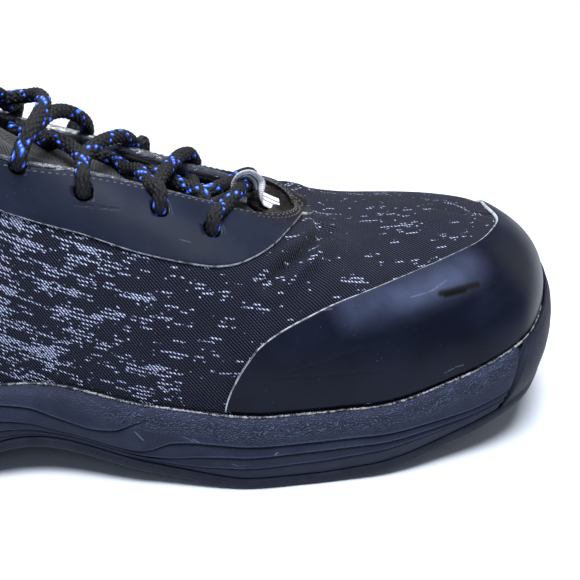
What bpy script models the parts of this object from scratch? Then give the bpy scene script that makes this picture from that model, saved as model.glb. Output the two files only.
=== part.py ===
"""A low safety sneaker for the right foot: knitted upper, film overlays, laced throat, moulded rubber sole.

The toe points along +X, the outer (lateral) side faces -Y and the floor is z = 0. Lengths are in metres.
"""
from collections import namedtuple
import math

import bmesh
import bpy
import numpy as np

# Overall sizes of the last and the sole
LENGTH = 0.306
BALL_WIDTH = 0.112
SOLE_HEIGHT = 0.0252
INSTEP_HEIGHT = 0.116
COLLAR_HEIGHT = 0.104
HEEL_TUCK = 0.007

# Walls, layers and running gaps
GAP = 0.0003
LAYER_GAP = 0.0005
TONGUE_GAP = 0.0006
UPPER_WALL = 0.0028
COLLAR_PAD = 0.0042
FILM = 0.0009
TONGUE_THICK = 0.0050
INSOLE_THICK = 0.0040
OUTSOLE_THICK = 0.0042
LUG_DEPTH = 0.0026
BUMPER_THICK = 0.0022

# How the upper sits in the sole's rim
UPPER_INSET = 0.0052
CUP_DEPTH = 0.0055
MARGIN_TUCK = 0.0008
RIM_PLAY = 0.0008
INSOLE_PLAY = 0.0012
INSOLE_LIFT = 0.0006
# Rows of the cup's floor between its edge (0) and the centre line (1)
FLOOR_SHARES = (0.50,)

# The throat, its eyelets, its lace and the webbing loop at its base
THROAT_HALF = 0.0140
THROAT_FRONT = 0.0575
THROAT_ROUND = 0.0120
THROAT_FLARE = 0.0070
TONGUE_LAP_SHARE = 0.17
TONGUE_TOP_SHARE = 0.300
TONGUE_FRONT_SHARE = 0.800
TONGUE_CROWN_SHARE = 0.035
EYELET_RADIUS = 0.0030
LACE_RADIUS = 0.0025
LACE_RISE = 0.0022
LACE_SIDES = 6
LACE_POINTS = 7
# How far laces that share an eyelet lie apart, each way, as a share of the length
LACE_SHIFT_SHARE = 0.0115
EYELET_SIDES = 8
WEBBING_WIDTH = 0.0100
WEBBING_THICK = 0.0014
WEBBING_REACH = 0.0260

# The face where midsole and outsole meet: its gap, its rows, and the side's lowest row
SOLE_GAP = 0.0005
SPLIT_SHARES = (0.62, 0.28)
SPLIT_LIP_SHARE = 0.005

# Relief of the sole's side and of its tread
SIDE_LEAN = 0.0020
STEP_DEPTH = 0.0010
FLAT_SPOT = 0.0005
TREAD_EDGE = 0.0040
TREAD_BAND = 0.0110
LUG_GAP = 0.0018
TOE_LIP = 0.0008
# Half height of a step's slope, as a share of the midsole's side
STEP_LIP_SHARE = 0.014
# The tread's edge band: how far its inner foot stands back and its outer edge rises, as shares of the band
# and of the outsole; the rows of lugs, as shares from the centre line (1) to the outline (0)
BAND_TAPER_SHARE = 0.9
BAND_RISE_SHARE = 0.3
LUG_SHARES = (1.0, 0.68, 0.38)
# A lug is cut only in a cell this many gaps wide, and its foot stands in by this many gaps
LUG_LEAST = 4.0
LUG_TAPER = 1.4

# Shares of the length where the toe and heel curves of the plan start, and where the ribs' ends lie
TOE_START_SHARE = 0.76
HEEL_START_SHARE = 0.14
END_POWER = 2.3
TOE_POLE_SHARE = 0.868
HEEL_POLE_SHARE = 0.12
BUMPER_START_SHARE = 0.902
BUMPER_LEAN_SHARE = 0.026
# The bumper's rear edge: the height it leans about, the columns that lean with it and those at its seam
BUMPER_PIVOT_SHARE = 0.35
BUMPER_REACH_SHARE = 0.05
BUMPER_SEAM_SHARES = (0.0045, 0.0015, 0.0)
BUMPER_WALL_SHARES = (0.30, 0.65)
# Least spacing of columns beside a seam's own, as a share of the length
COLUMN_ROOM_SHARE = 0.012

# Columns of the plan at the heel, along the sides and at the toe; rows of the upper and of the overlays
PLAN_COLUMNS = (5, 14, 8)
UPPER_ROWS = 10
UPPER_INNER_SHARES = (1.0, 0.9, 0.8, 0.7, 0.55, 0.4, 0.2, 0.0)
FILM_ROWS = 6
TONGUE_COLUMNS = 16
TONGUE_ROWS = 5

# Shares: along of LENGTH from the heel; lateral and medial half widths of BALL_WIDTH; rim (top of the
# sole's side) and lift (tread above the floor) of SOLE_HEIGHT; ridge of INSTEP_HEIGHT. Fullness is the
# exponent of the section between rim and ridge.
Station = namedtuple("Station", "along lateral medial rim lift ridge fullness")
STATIONS = (
    Station(0.00, 0.340, 0.340, 1.47, 0.16, 1.72, 2.60),
    Station(0.10, 0.345, 0.345, 1.43, 0.00, 1.72, 2.60),
    Station(0.25, 0.350, 0.330, 1.35, 0.00, 1.46, 2.50),
    Station(0.40, 0.346, 0.290, 1.33, 0.47, 1.00, 2.30),
    Station(0.52, 0.432, 0.340, 1.10, 0.19, 0.80, 2.20),
    Station(0.64, 0.501, 0.432, 1.00, 0.00, 0.67, 2.12),
    Station(0.74, 0.501, 0.493, 1.01, 0.07, 0.59, 2.24),
    Station(0.84, 0.479, 0.504, 1.21, 0.33, 0.582, 2.28),
    Station(0.92, 0.495, 0.494, 1.50, 0.62, 0.50, 2.26),
    Station(1.00, 0.388, 0.563, 1.70, 0.82, 0.50, 1.90),
)

# The collar's edge: height as a share of COLLAR_HEIGHT
Collar = namedtuple("Collar", "along height")
COLLAR = (
    Collar(0.00, 1.00), Collar(0.06, 0.98), Collar(0.14, 0.86), Collar(0.21, 0.80),
    Collar(0.27, 0.86), Collar(0.32, 1.06), Collar(0.36, 1.32), Collar(0.46, 2.20),
)

# Three stepped edges and a wave on the side of the midsole: heights as shares of the midsole's side,
# depths as shares of STEP_DEPTH
Edge = namedtuple("Edge", "along first second third depth wave wave_depth")
EDGES = (
    Edge(0.000, 0.58, 0.38, 0.20, 1.00, 0.80, 0.60),
    Edge(0.300, 0.58, 0.36, 0.18, 1.00, 0.80, 0.60),
    Edge(0.360, 0.50, 0.28, 0.12, 0.90, 0.77, 0.80),
    Edge(0.405, 0.32, 0.18, 0.08, 0.60, 0.64, 1.00),
    Edge(0.430, 0.21, 0.13, 0.06, 0.25, 0.50, 1.00),
    Edge(0.460, 0.19, 0.12, 0.06, 0.15, 0.43, 1.00),
    Edge(0.485, 0.18, 0.12, 0.06, 0.15, 0.53, 1.00),
    Edge(0.505, 0.21, 0.13, 0.06, 0.50, 0.74, 0.50),
    Edge(0.520, 0.30, 0.15, 0.07, 0.90, 0.84, 0.10),
    Edge(0.540, 0.50, 0.20, 0.08, 1.00, 0.86, 0.00),
    Edge(0.565, 0.58, 0.32, 0.12, 1.00, 0.86, 0.00),
    Edge(0.600, 0.61, 0.41, 0.20, 1.00, 0.86, 0.00),
    Edge(0.700, 0.62, 0.46, 0.27, 1.00, 0.86, 0.00),
    Edge(0.780, 0.57, 0.42, 0.30, 1.00, 0.86, 0.00),
    Edge(0.860, 0.40, 0.28, 0.17, 0.90, 0.86, 0.00),
    Edge(1.000, 0.36, 0.24, 0.14, 0.00, 0.86, 0.00),
)

# Edges of the film overlays on the upper: up is the share of the section from rim (0) to ridge (1)
Trim = namedtuple("Trim", "along up")
GUARD_EDGE = (
    Trim(0.590, 0.000), Trim(0.611, 0.175), Trim(0.630, 0.240), Trim(0.656, 0.300), Trim(0.686, 0.355),
    Trim(0.723, 0.420), Trim(0.764, 0.485), Trim(0.807, 0.540), Trim(0.848, 0.580), Trim(0.897, 0.620),
    Trim(0.940, 0.640), Trim(1.000, 0.645),
)
GUARD_CORNER_SHARE = 0.626
GUARD_HEM_SHARE = 0.012
STAY_EDGE = (
    Trim(0.306, 0.470), Trim(0.340, 0.438), Trim(0.413, 0.428), Trim(0.467, 0.450),
    Trim(0.527, 0.462), Trim(0.583, 0.485), Trim(0.610, 0.510), Trim(0.642, 0.565), Trim(0.672, 0.640),
    Trim(0.702, 0.740), Trim(0.750, 0.905), Trim(0.785, 1.000),
)
STAY_HEM_SHARE = 0.022
# Extra columns where the collar turns into the throat, and round the throat's base, ahead of and behind it
COLLAR_CORNER = [0.288, 0.300, 0.312]
THROAT_COLUMNS = (-0.070, -0.052, -0.036, -0.022, -0.012, -0.004, 0.0005, 0.018)
THROAT_CLEAR = (-0.084, 0.030)
# Where the collar's padding ends along the shoe, starts up the wall, and thins again by this share
PAD_END = (0.22, 0.30)
PAD_START = (0.50, 0.80)
PAD_EDGE = (0.85, 1.00)
PAD_THINNING = 0.4
# How far the collar's rounded edge stands up, as a share of its thickness
COLLAR_ROUND_SHARE = 0.35
# The toe guard's front columns bend forward as they rise by this power
GUARD_BEND = 1.5
# The tongue's long edges stay between these shares of the section
TONGUE_EDGE = (0.40, 0.80)
# The eyelet punches reach this many walls in and out
PUNCH_WALLS = (-2.2, 1.6)

# Eyelets from the throat's base to its top
EYELETS = (
    Trim(0.602, 0.650), Trim(0.546, 0.670), Trim(0.465, 0.610), Trim(0.403, 0.605), Trim(0.348, 0.600),
)

# The webbing loop in side view: shares of WEBBING_REACH behind the throat's base and above the tongue
Bend = namedtuple("Bend", "back high")
WEBBING = (
    Bend(0.20, 0.040), Bend(0.40, 0.040), Bend(0.62, 0.060), Bend(0.86, 0.200), Bend(1.00, 0.400),
    Bend(0.92, 0.580), Bend(0.72, 0.620), Bend(0.56, 0.480), Bend(0.48, 0.300), Bend(0.42, 0.165),
)

LATERAL, MEDIAL = -1, 1


def through(table, name, at):
    """A smooth monotone curve through one column of a table, read at the shares in at."""
    places = np.array([row.along for row in table])
    values = np.array([getattr(row, name) for row in table])
    step = np.diff(places)
    slope = np.diff(values) / step
    tangent = np.concatenate([slope[:1], np.zeros(len(slope) - 1), slope[-1:]])
    same_way = slope[:-1] * slope[1:] > 0
    total = np.where(same_way, slope[:-1] + slope[1:], 1.0)
    tangent[1:-1] = np.where(same_way, 2 * slope[:-1] * slope[1:] / total, 0.0)
    at = np.clip(at, places[0], places[-1])
    i = np.clip(np.searchsorted(places, at, side="right") - 1, 0, len(step) - 1)
    s = (at - places[i]) / step[i]
    start = values[i] + (values[i + 1] - values[i]) * (3 * s**2 - 2 * s**3)
    return start + step[i] * (tangent[i] * (s**3 - 2 * s**2 + s) + tangent[i + 1] * (s**3 - s**2))


def ramp(value, low, high):
    """A soft rise from 0 at low to 1 at high."""
    s = np.clip((value - low) / (high - low), 0.0, 1.0)
    return s * s * (3 - 2 * s)


def closing(along):
    """How much of its half width the plan keeps towards the rounded toe and heel."""
    toe = np.clip((along - TOE_START_SHARE) / (1 - TOE_START_SHARE), 0, 1)
    heel = np.clip((HEEL_START_SHARE - along) / HEEL_START_SHARE, 0, 1)
    return np.sqrt((1 - toe**END_POWER) * (1 - heel**END_POWER))


def axis_y(along):
    """The plan's centre line, before the plan is centred on y = 0."""
    middle = (through(STATIONS, "medial", along) - through(STATIONS, "lateral", along)) / 2
    return middle * BALL_WIDTH


def half_width(along):
    half = (through(STATIONS, "medial", along) + through(STATIONS, "lateral", along)) / 2
    return half * BALL_WIDTH * closing(along)


def plan_offset():
    """The shift that centres the sole's plan on y = 0."""
    along = np.linspace(0, 1, 2001)
    return -((axis_y(along) + half_width(along)).max() + (axis_y(along) - half_width(along)).min()) / 2


PLAN_OFFSET = plan_offset()


def axis_point(along):
    return (along - 0.5) * LENGTH, axis_y(along) + PLAN_OFFSET


def outline(along, side, out=0.0):
    """A point of the sole's plan outline, moved outward by out, and the outward direction there."""
    along = np.asarray(along, float)
    nudge = 1e-4
    before = np.clip(along - nudge, 0, 1)
    after = np.clip(along + nudge, 0, 1)
    run = (after - before) * LENGTH
    rise = axis_y(after) + side * half_width(after) - axis_y(before) - side * half_width(before)
    size = np.hypot(run, rise)
    way_x = -side * rise / size
    way_y = side * run / size
    way_x = np.where(along >= 1, 1.0, np.where(along <= 0, -1.0, way_x))
    way_y = np.where((along >= 1) | (along <= 0), 0.0, way_y)
    x, y = axis_point(along)
    return x + way_x * out, y + side * half_width(along) + way_y * out, way_x, way_y


def rim_height(along):
    return through(STATIONS, "rim", along) * SOLE_HEIGHT


def tread_height(along):
    return np.maximum(through(STATIONS, "lift", along) * SOLE_HEIGHT - FLAT_SPOT, 0.0)


def pole(along):
    """The share of the length where the rib that starts at along meets the ridge."""
    return HEEL_POLE_SHARE + (TOE_POLE_SHARE - HEEL_POLE_SHARE) * along


def rib(along, side, up):
    """A point of the upper's form on the rib that starts at along, from rim (up 0) to ridge (up 1)."""
    foot_x, foot_y, way_x, way_y = outline(along, side, -UPPER_INSET)
    foot_z = rim_height(along)
    top_x, top_y = axis_point(pole(along))
    top_z = through(STATIONS, "ridge", pole(along)) * INSTEP_HEIGHT
    power = 2 / through(STATIONS, "fullness", along)
    angle = np.clip(up, 0, 1) * math.pi / 2
    inward = 1 - np.cos(angle) ** power
    upward = np.sin(angle) ** power
    z = foot_z + (top_z - foot_z) * upward
    tuck = HEEL_TUCK * (1 - ramp(along, 0.04, 0.34)) * ramp(z, 0.50 * COLLAR_HEIGHT, 0.98 * COLLAR_HEIGHT)
    tuck = tuck * (1 - ramp(up, 0.6, 0.9))
    x = foot_x + (top_x - foot_x) * inward - way_x * tuck
    y = foot_y + (top_y - foot_y) * inward - way_y * tuck
    return np.stack([x, y, z], -1)


def one_side_normal(along, side, up):
    nudge = 1e-4
    lean = 0.01
    along = np.clip(along, 2 * nudge, 1 - 2 * nudge)
    run = rib(along + nudge, side, up) - rib(along - nudge, side, up)
    rise = rib(along, side, np.minimum(up + lean, 1)) - rib(along, side, np.maximum(up - lean, 0))
    normal = -side * np.cross(run, rise)
    return normal / np.linalg.norm(normal, axis=-1, keepdims=True)


def skin(along, side, up, out=0.0):
    """A point of the upper's form moved out along its normal, which both sides share at every seam."""
    along, up, out = np.broadcast_arrays(*[np.asarray(value, float) for value in (along, up, out)])
    normal = one_side_normal(along, side, up)
    seam = ((up >= 1 - 1e-9) | (along <= 1e-9) | (along >= 1 - 1e-9))[..., None]
    normal = np.where(seam, normal + one_side_normal(along, -side, up), normal)
    normal = normal / np.linalg.norm(normal, axis=-1, keepdims=True)
    return rib(along, side, up) + normal * out[..., None]


def throat_half(x):
    """Half width of the throat's opening at x, rounded at its base and flared at its top."""
    into = np.clip((x - THROAT_FRONT + THROAT_ROUND) / THROAT_ROUND, 0, 1)
    place = x / LENGTH + 0.5
    flare = THROAT_FLARE * ramp(-place, -0.60, -0.28)
    in_front_of_collar = ramp(place, 0.20, 0.28)
    return (THROAT_HALF + flare) * np.sqrt(1 - into**2) * in_front_of_collar - GAP * (x > THROAT_FRONT)


def opening_edge(along, side):
    """Where each rib meets the collar or the throat, as its up share; 1 where it runs on to the ridge."""
    up = np.linspace(0.04, 1, 385)
    points = rib(np.asarray(along, float)[:, None], side, up[None, :])
    place = points[..., 0] / LENGTH + 0.5
    below = through(COLLAR, "height", place) * COLLAR_HEIGHT - points[..., 2]
    beside = np.abs(points[..., 1] - axis_y(place) - PLAN_OFFSET) - throat_half(points[..., 0])
    inside = np.minimum(below, beside)
    edges = np.ones(len(points))
    for row, signs in enumerate(inside):
        crossed = np.nonzero(signs < 0)[0]
        if len(crossed):
            after = crossed[0]
            share = signs[after - 1] / (signs[after - 1] - signs[after])
            edges[row] = up[after - 1] + share * (up[after] - up[after - 1])
    return edges


def plan_stations(heel, middle, toe):
    """Shares of the length, spaced so that the rounded toe and heel get even arcs."""
    quarter = math.pi / 2
    heel_arc = [HEEL_START_SHARE * (1 - math.cos(quarter * k / heel) ** (2 / END_POWER)) for k in range(heel)]
    straight = [HEEL_START_SHARE + (TOE_START_SHARE - HEEL_START_SHARE) * k / middle for k in range(middle)]
    toe_sines = [math.sin(quarter * k / toe) ** (2 / END_POWER) for k in range(toe + 1)]
    toe_arc = [TOE_START_SHARE + (1 - TOE_START_SHARE) * sine for sine in toe_sines]
    return np.array(heel_arc + straight + toe_arc)


def ring(alongs):
    """Columns round the plan, out along the lateral side and back along the medial one."""
    back = alongs[-2:0:-1]
    sides = np.concatenate([np.full(len(alongs), LATERAL), np.full(len(back), MEDIAL)])
    return np.concatenate([alongs, back]), sides


def by_side(function, alongs, sides, *others):
    """Work a one-side function out for columns of both sides."""
    picked = [np.broadcast_to(np.asarray(other, float), alongs.shape) for other in others]
    lateral = function(alongs, LATERAL, *picked)
    medial = function(alongs, MEDIAL, *picked)
    pick = sides == LATERAL
    return np.where(pick[:, None] if np.ndim(lateral) > 1 else pick, lateral, medial)


def level(x, y, z):
    return np.stack([x, y, z], -1)


class Body:
    """Vertices and faces of one closed body, welded where its sheets meet."""

    def __init__(self):
        self.mesh = bmesh.new()

    def row(self, points):
        return [self.mesh.verts.new([float(value) for value in point]) for point in points]

    def face(self, corners):
        if len(set(corners)) == len(corners):
            self.mesh.faces.new(corners)

    def strip(self, first, second, closed=False, where=None):
        """Quads between two rows; where picks the columns that get one."""
        count = len(first) if closed else len(first) - 1
        for k in range(count):
            following = (k + 1) % len(first)
            if where is None or where[k]:
                self.face([first[k], first[following], second[following], second[k]])

    def bed(self, rows):
        """Triangles over closed rows from the centre line to the edge, split alike on faces that meet."""
        for first, second in zip(rows, rows[1:]):
            for k in range(len(first)):
                following = (k + 1) % len(first)
                self.face([first[k], first[following], second[following]])
                self.face([first[k], second[following], second[k]])

    def finish(self, name, colour, roughness, metallic=0.0):
        bmesh.ops.remove_doubles(self.mesh, verts=self.mesh.verts, dist=1e-6)
        bmesh.ops.recalc_face_normals(self.mesh, faces=self.mesh.faces)
        data = bpy.data.meshes.new(name)
        self.mesh.to_mesh(data)
        self.mesh.free()
        data.shade_smooth()
        data.set_sharp_from_angle(angle=math.radians(38))
        part = bpy.data.objects.new(name, data)
        bpy.context.scene.collection.objects.link(part)
        data.materials.append(finish_material(name, colour, roughness, metallic))
        return part


def finish_material(name, colour, roughness, metallic):
    material = bpy.data.materials.new(name)
    material.use_nodes = True
    shader = material.node_tree.nodes["Principled BSDF"]
    shader.inputs["Base Color"].default_value = (*colour, 1.0)
    shader.inputs["Roughness"].default_value = roughness
    shader.inputs["Metallic"].default_value = metallic
    return material


def leaned(along, share):
    """Columns near the bumper's rear edge lean with it, so that the edge slopes forward as it rises."""
    near = np.clip(1 - np.abs(along - BUMPER_START_SHARE) / BUMPER_REACH_SHARE, 0, 1)
    return along + BUMPER_LEAN_SHARE * (share - BUMPER_PIVOT_SHARE) * near


def split_height(along):
    """Top of the outsole at the sole's edge."""
    return tread_height(along) + OUTSOLE_THICK


def side_row(alongs, sides, share, out):
    """A row of the sole's side at a share of the height from the outsole's top (0) to the rim (1)."""
    moved = leaned(alongs, share)
    x, y, _, _ = [by_side(lambda a, s, o, n=n: outline(a, s, o)[n], moved, sides, out) for n in range(4)]
    low = split_height(moved)
    return level(x, y, low + (rim_height(moved) - low) * share)


def side_bulge(share):
    """The side leans in towards the rim and the tread."""
    return -SIDE_LEAN * np.abs(2 * share - 1) ** 2


def fan_row(alongs, sides, edge_out, share, edge_height, axis_height):
    """A row on the lines that run from the outline, moved out by edge_out, to the centre line."""
    x, y = [by_side(lambda a, s, o, n=n: outline(a, s, o)[n], alongs, sides, edge_out) for n in range(2)]
    centre_x, centre_y = axis_point(pole(alongs))
    z = edge_height + (axis_height - edge_height) * share
    return level(x + (centre_x - x) * share, y + (centre_y - y) * share, z)


def cup_floor(alongs, sides, share):
    """The midsole's floor inside its rim."""
    edge = rim_height(alongs) - CUP_DEPTH
    centre = rim_height(pole(alongs)) - CUP_DEPTH
    return fan_row(alongs, sides, -UPPER_INSET + RIM_PLAY, share, edge, centre)


def sole_stations():
    """The sole's columns, with one at each side of the bumper's rear edge."""
    seam = [BUMPER_START_SHARE - behind for behind in BUMPER_SEAM_SHARES]
    kept = [along for along in plan_stations(*PLAN_COLUMNS) if abs(along - seam[-1]) > COLUMN_ROOM_SHARE]
    return np.array(sorted(kept + seam))


def make_midsole():
    """Rim, cup floor and the stepped side between the upper and the outsole."""
    alongs, sides = ring(sole_stations())
    body = Body()
    under_bumper = alongs > BUMPER_START_SHARE - sum(BUMPER_SEAM_SHARES[:2]) / 2
    recess = np.where(under_bumper, -(BUMPER_THICK + GAP), 0.0)
    depth = through(EDGES, "depth", alongs) * STEP_DEPTH * ~under_bumper
    wave = through(EDGES, "wave", alongs)
    wave_depth = through(EDGES, "wave_depth", alongs) * STEP_DEPTH * ~under_bumper
    lip = STEP_LIP_SHARE
    levels = [(np.full_like(alongs, SPLIT_LIP_SHARE), 0 * depth)]
    for name in ("third", "second", "first"):
        height = through(EDGES, name, alongs)
        levels += [(height - lip, -depth), (height + lip, 0 * depth)]
    levels += [(wave - lip, -wave_depth), (wave + lip, 0 * depth), (np.full_like(alongs, 1.0), 0 * depth)]
    under_edge = split_height(alongs) + SOLE_GAP
    under_axis = split_height(pole(alongs)) + SOLE_GAP
    underside = [
        body.row(fan_row(alongs, sides, -SIDE_LEAN - BUMPER_THICK - GAP, share, under_edge, under_axis))
        for share in (1.0, *SPLIT_SHARES, 0.0)
    ]
    rows = [underside[-1]]
    for share, out in levels:
        points = side_row(alongs, sides, share, side_bulge(share) + out + recess)
        points[:, 2] += SOLE_GAP * (1 - share)
        rows.append(body.row(points))
    rim_inner = cup_floor(alongs, sides, 0.0)
    rim_inner[:, 2] += CUP_DEPTH
    rows.append(body.row(rim_inner))
    floor = [body.row(cup_floor(alongs, sides, share)) for share in (1.0, *FLOOR_SHARES[::-1], 0.0)]
    rows.append(floor[-1])
    body.bed(underside)
    body.bed(floor)
    for first, second in zip(rows, rows[1:]):
        body.strip(first, second, closed=True)
    return body.finish("midsole", (0.040, 0.044, 0.058), 0.62)


def make_outsole():
    """Tread with its lugs, edge band and the bumper that wraps up round the toe."""
    alongs, sides = ring(sole_stations())
    body = Body()
    tread = tread_height(alongs)
    tread_axis = tread_height(pole(alongs))
    split = split_height(alongs)
    in_bumper = alongs >= BUMPER_START_SHARE - 1e-9
    thick = BUMPER_THICK

    band = TREAD_BAND / np.maximum(half_width(pole(alongs)), TREAD_BAND)
    groove = [
        body.row(fan_row(alongs, sides, -TREAD_EDGE, share, tread + LUG_DEPTH, tread_axis + LUG_DEPTH))
        for share in (*LUG_SHARES, band)
    ]
    edge = [
        body.row(fan_row(alongs, sides, -TREAD_EDGE, band * BAND_TAPER_SHARE, tread, tread)),
        body.row(fan_row(alongs, sides, -TREAD_EDGE, 0.0, tread, tread)),
        body.row(fan_row(alongs, sides, -SIDE_LEAN, 0.0, tread + BAND_RISE_SHARE * OUTSOLE_THICK, tread)),
        body.row(side_row(alongs, sides, 0.0, -SIDE_LEAN)),
    ]
    wall = [body.row(side_row(alongs, sides, share, side_bulge(share))) for share in BUMPER_WALL_SHARES]
    lip_outer = side_row(alongs, sides, 1.0, -SIDE_LEAN)
    lip_outer[:, 2] += TOE_LIP
    lip_inner = side_row(alongs, sides, 1.0, -UPPER_INSET + LAYER_GAP + FILM + 2 * GAP)
    lip_inner[:, 2] += TOE_LIP
    wall += [body.row(lip_outer), body.row(lip_inner)]
    for share in BUMPER_WALL_SHARES[::-1]:
        wall.append(body.row(side_row(alongs, sides, share, side_bulge(share) - thick)))
    top = [
        body.row(fan_row(alongs, sides, -SIDE_LEAN - thick, share, split, split_height(pole(alongs))))
        for share in (1.0, *SPLIT_SHARES, 0.0)
    ]
    body.bed(top)
    for rows in (groove, [groove[-1], *edge]):
        for first, second in zip(rows, rows[1:]):
            body.strip(first, second, closed=True)
    both = in_bumper & np.roll(in_bumper, -1)
    raised = [edge[-1], *wall, top[-1]]
    for first, second in zip(raised, raised[1:]):
        body.strip(first, second, closed=True, where=both)
    body.strip(edge[-1], top[-1], closed=True, where=~both)
    ends = np.nonzero(in_bumper & ~(both & np.roll(both, 1)))[0]
    for column in ends:
        body.face([row[column] for row in raised])

    on_groove = {vert for row in groove for vert in row}
    cells = [face for face in body.mesh.faces if on_groove.issuperset(face.verts)]
    for cell in cells:
        if cell.calc_area() > (LUG_LEAST * LUG_GAP) ** 2:
            lower_lug(body, cell)
    return body.finish("outsole", (0.030, 0.032, 0.040), 0.70)


def lower_lug(body, cell):
    """Turn one cell of the tread's groove level into a tapered lug that reaches down to the tread."""
    corners = list(cell.verts)
    centre = cell.calc_center_median()
    body.mesh.faces.remove(cell)
    foot = []
    for corner in corners:
        reach = centre - corner.co
        point = corner.co + reach * (LUG_TAPER * LUG_GAP / reach.length)
        foot.append(body.mesh.verts.new((point.x, point.y, point.z - LUG_DEPTH)))
    for k, corner in enumerate(corners):
        body.face([corner, corners[k - 1], foot[k - 1], foot[k]])
    body.face(foot[::-1])


def make_insole():
    """The footbed inside the upper, on the midsole's floor."""
    alongs, sides = ring(sole_stations())
    body = Body()
    inset = UPPER_WALL + MARGIN_TUCK + INSOLE_PLAY
    x, y, way_x, way_y = [
        by_side(lambda a, s, n=n: outline(a, s, -UPPER_INSET)[n], alongs, sides) for n in range(4)
    ]
    centre_x, centre_y = axis_point(pole(alongs))
    reach = -(centre_x - x) * way_x - (centre_y - y) * way_y
    start = inset / reach
    shares = [np.ones_like(start), *FLOOR_SHARES[::-1], start]

    def face_rows(lift):
        rows = []
        for share in shares:
            points = cup_floor(alongs, sides, share)
            points[:, 2] += lift
            rows.append(body.row(points))
        return rows

    underside, topside = face_rows(INSOLE_LIFT), face_rows(INSOLE_LIFT + INSOLE_THICK)
    body.bed(underside)
    body.bed(topside)
    body.strip(underside[-1], topside[-1], closed=True)
    return body.finish("insole", (0.05, 0.05, 0.055), 0.9)


def collar_pad(alongs, share):
    """Padding on the wall's inner side below the collar's edge."""
    thick = ramp(share, *PAD_START) * (1 - PAD_THINNING * ramp(share, *PAD_EDGE))
    return COLLAR_PAD * thick * (1 - ramp(alongs, *PAD_END))


def upper_stations():
    """The upper's columns: those of the plan, and finer ones at the throat's base."""
    alongs = plan_stations(*PLAN_COLUMNS)
    tip = (THROAT_FRONT / LENGTH + 0.5 - HEEL_POLE_SHARE) / (TOE_POLE_SHARE - HEEL_POLE_SHARE)
    base = [tip + step for step in THROAT_COLUMNS]
    kept = [along for along in alongs if not THROAT_CLEAR[0] < along - tip < THROAT_CLEAR[1]]
    kept = [along for along in kept if not COLLAR_CORNER[0] < along < COLLAR_CORNER[-1]]
    return np.array(sorted(kept + base + COLLAR_CORNER))


def make_upper():
    """The hollow knitted shell, open at the collar, the throat and underneath."""
    alongs, sides = ring(upper_stations())
    body = Body()
    edge = by_side(lambda a, s: opening_edge(a, s), alongs, sides)
    is_open = edge < 1
    shares = [row / UPPER_ROWS for row in range(UPPER_ROWS + 1)]
    foot = rim_height(alongs) - CUP_DEPTH + INSOLE_LIFT

    def margin(out):
        x, y = [by_side(lambda a, s, n=n: outline(a, s, out)[n], alongs, sides) for n in range(2)]
        return body.row(level(x, y, foot))

    def sheet_row(share, out):
        return body.row(by_side(skin, alongs, sides, edge * share, out))

    outer = [margin(-UPPER_INSET - MARGIN_TUCK)] + [sheet_row(share, 0.0) for share in shares]
    inner = [sheet_row(share, -UPPER_WALL - collar_pad(alongs, share)) for share in UPPER_INNER_SHARES]
    inner.append(margin(-UPPER_INSET - MARGIN_TUCK - UPPER_WALL))
    thickness = UPPER_WALL + collar_pad(alongs, 1.0)
    crown = by_side(skin, alongs, sides, edge, -thickness / 2)
    lower = by_side(skin, alongs, sides, edge * (1 - 1 / UPPER_ROWS), -thickness / 2)
    rise = crown - lower
    rise /= np.linalg.norm(rise, axis=1, keepdims=True)
    crown = body.row(crown + rise * (thickness * COLLAR_ROUND_SHARE * is_open)[:, None])
    for first, second in zip(outer, outer[1:]):
        body.strip(first, second, closed=True)
    for first, second in zip(inner, inner[1:]):
        body.strip(first, second, closed=True)
    body.strip(inner[-1], outer[0], closed=True)
    either = is_open | np.roll(is_open, -1)
    body.strip(outer[-1], crown, closed=True, where=either)
    body.strip(crown, inner[0], closed=True, where=either)
    return body.finish("upper", (0.020, 0.021, 0.026), 0.85)


def overlay(name, columns, low, high, bend, colour, roughness):
    """A sheet of film on the upper's form between two edges, each given as (along, up) for every column."""
    body = Body()
    alongs, sides = columns
    shares = [row / FILM_ROWS for row in range(FILM_ROWS + 1)]

    def sheet_row(share, height):
        place = low[0] + (high[0] - low[0]) * share**bend
        up = low[1] + (high[1] - low[1]) * share
        lateral = skin(place, LATERAL, up, height)
        medial = skin(place, MEDIAL, up, height)
        return body.row(np.where((sides == LATERAL)[:, None], lateral, medial))

    outer = [sheet_row(share, LAYER_GAP + FILM) for share in shares]
    inner = [sheet_row(share, LAYER_GAP) for share in shares[::-1]]
    meets = high[1] >= 1 - 1e-9
    close_sheet(body, outer, inner, ~(meets & np.roll(meets, -1)))
    return body.finish(name, colour, roughness)


def close_sheet(body, outer, inner, apart):
    """Faces of a sheet that runs round the toe: both skins, the two edges and the two ends."""
    for rows in (outer, inner):
        for first, second in zip(rows, rows[1:]):
            body.strip(first, second)
    body.strip(outer[-1], inner[0], where=apart)
    body.strip(inner[-1], outer[0])
    for column in (0, len(outer[0]) - 1):
        for k in range(len(outer) - 1):
            body.face([outer[k][column], outer[k + 1][column], inner[-k - 2][column], inner[-k - 1][column]])


def make_toe_guard():
    """The film that covers the toe, down to the sole's rim."""
    start = GUARD_EDGE[0].along
    stations = upper_stations()
    corner_high = np.append(GUARD_CORNER_SHARE, stations[stations > GUARD_CORNER_SHARE + COLUMN_ROOM_SHARE])
    high, sides = ring_open(corner_high)
    low = high - (GUARD_CORNER_SHARE - start) * (1 - ramp(high, GUARD_CORNER_SHARE, TOE_START_SHARE))
    top = through(GUARD_EDGE, "up", high)
    foot = np.full_like(low, GUARD_HEM_SHARE)
    edges = (low, foot), (high, top)
    return overlay("toe_guard", (high, sides), *edges, GUARD_BEND, (0.016, 0.019, 0.030), 0.32)


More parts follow.
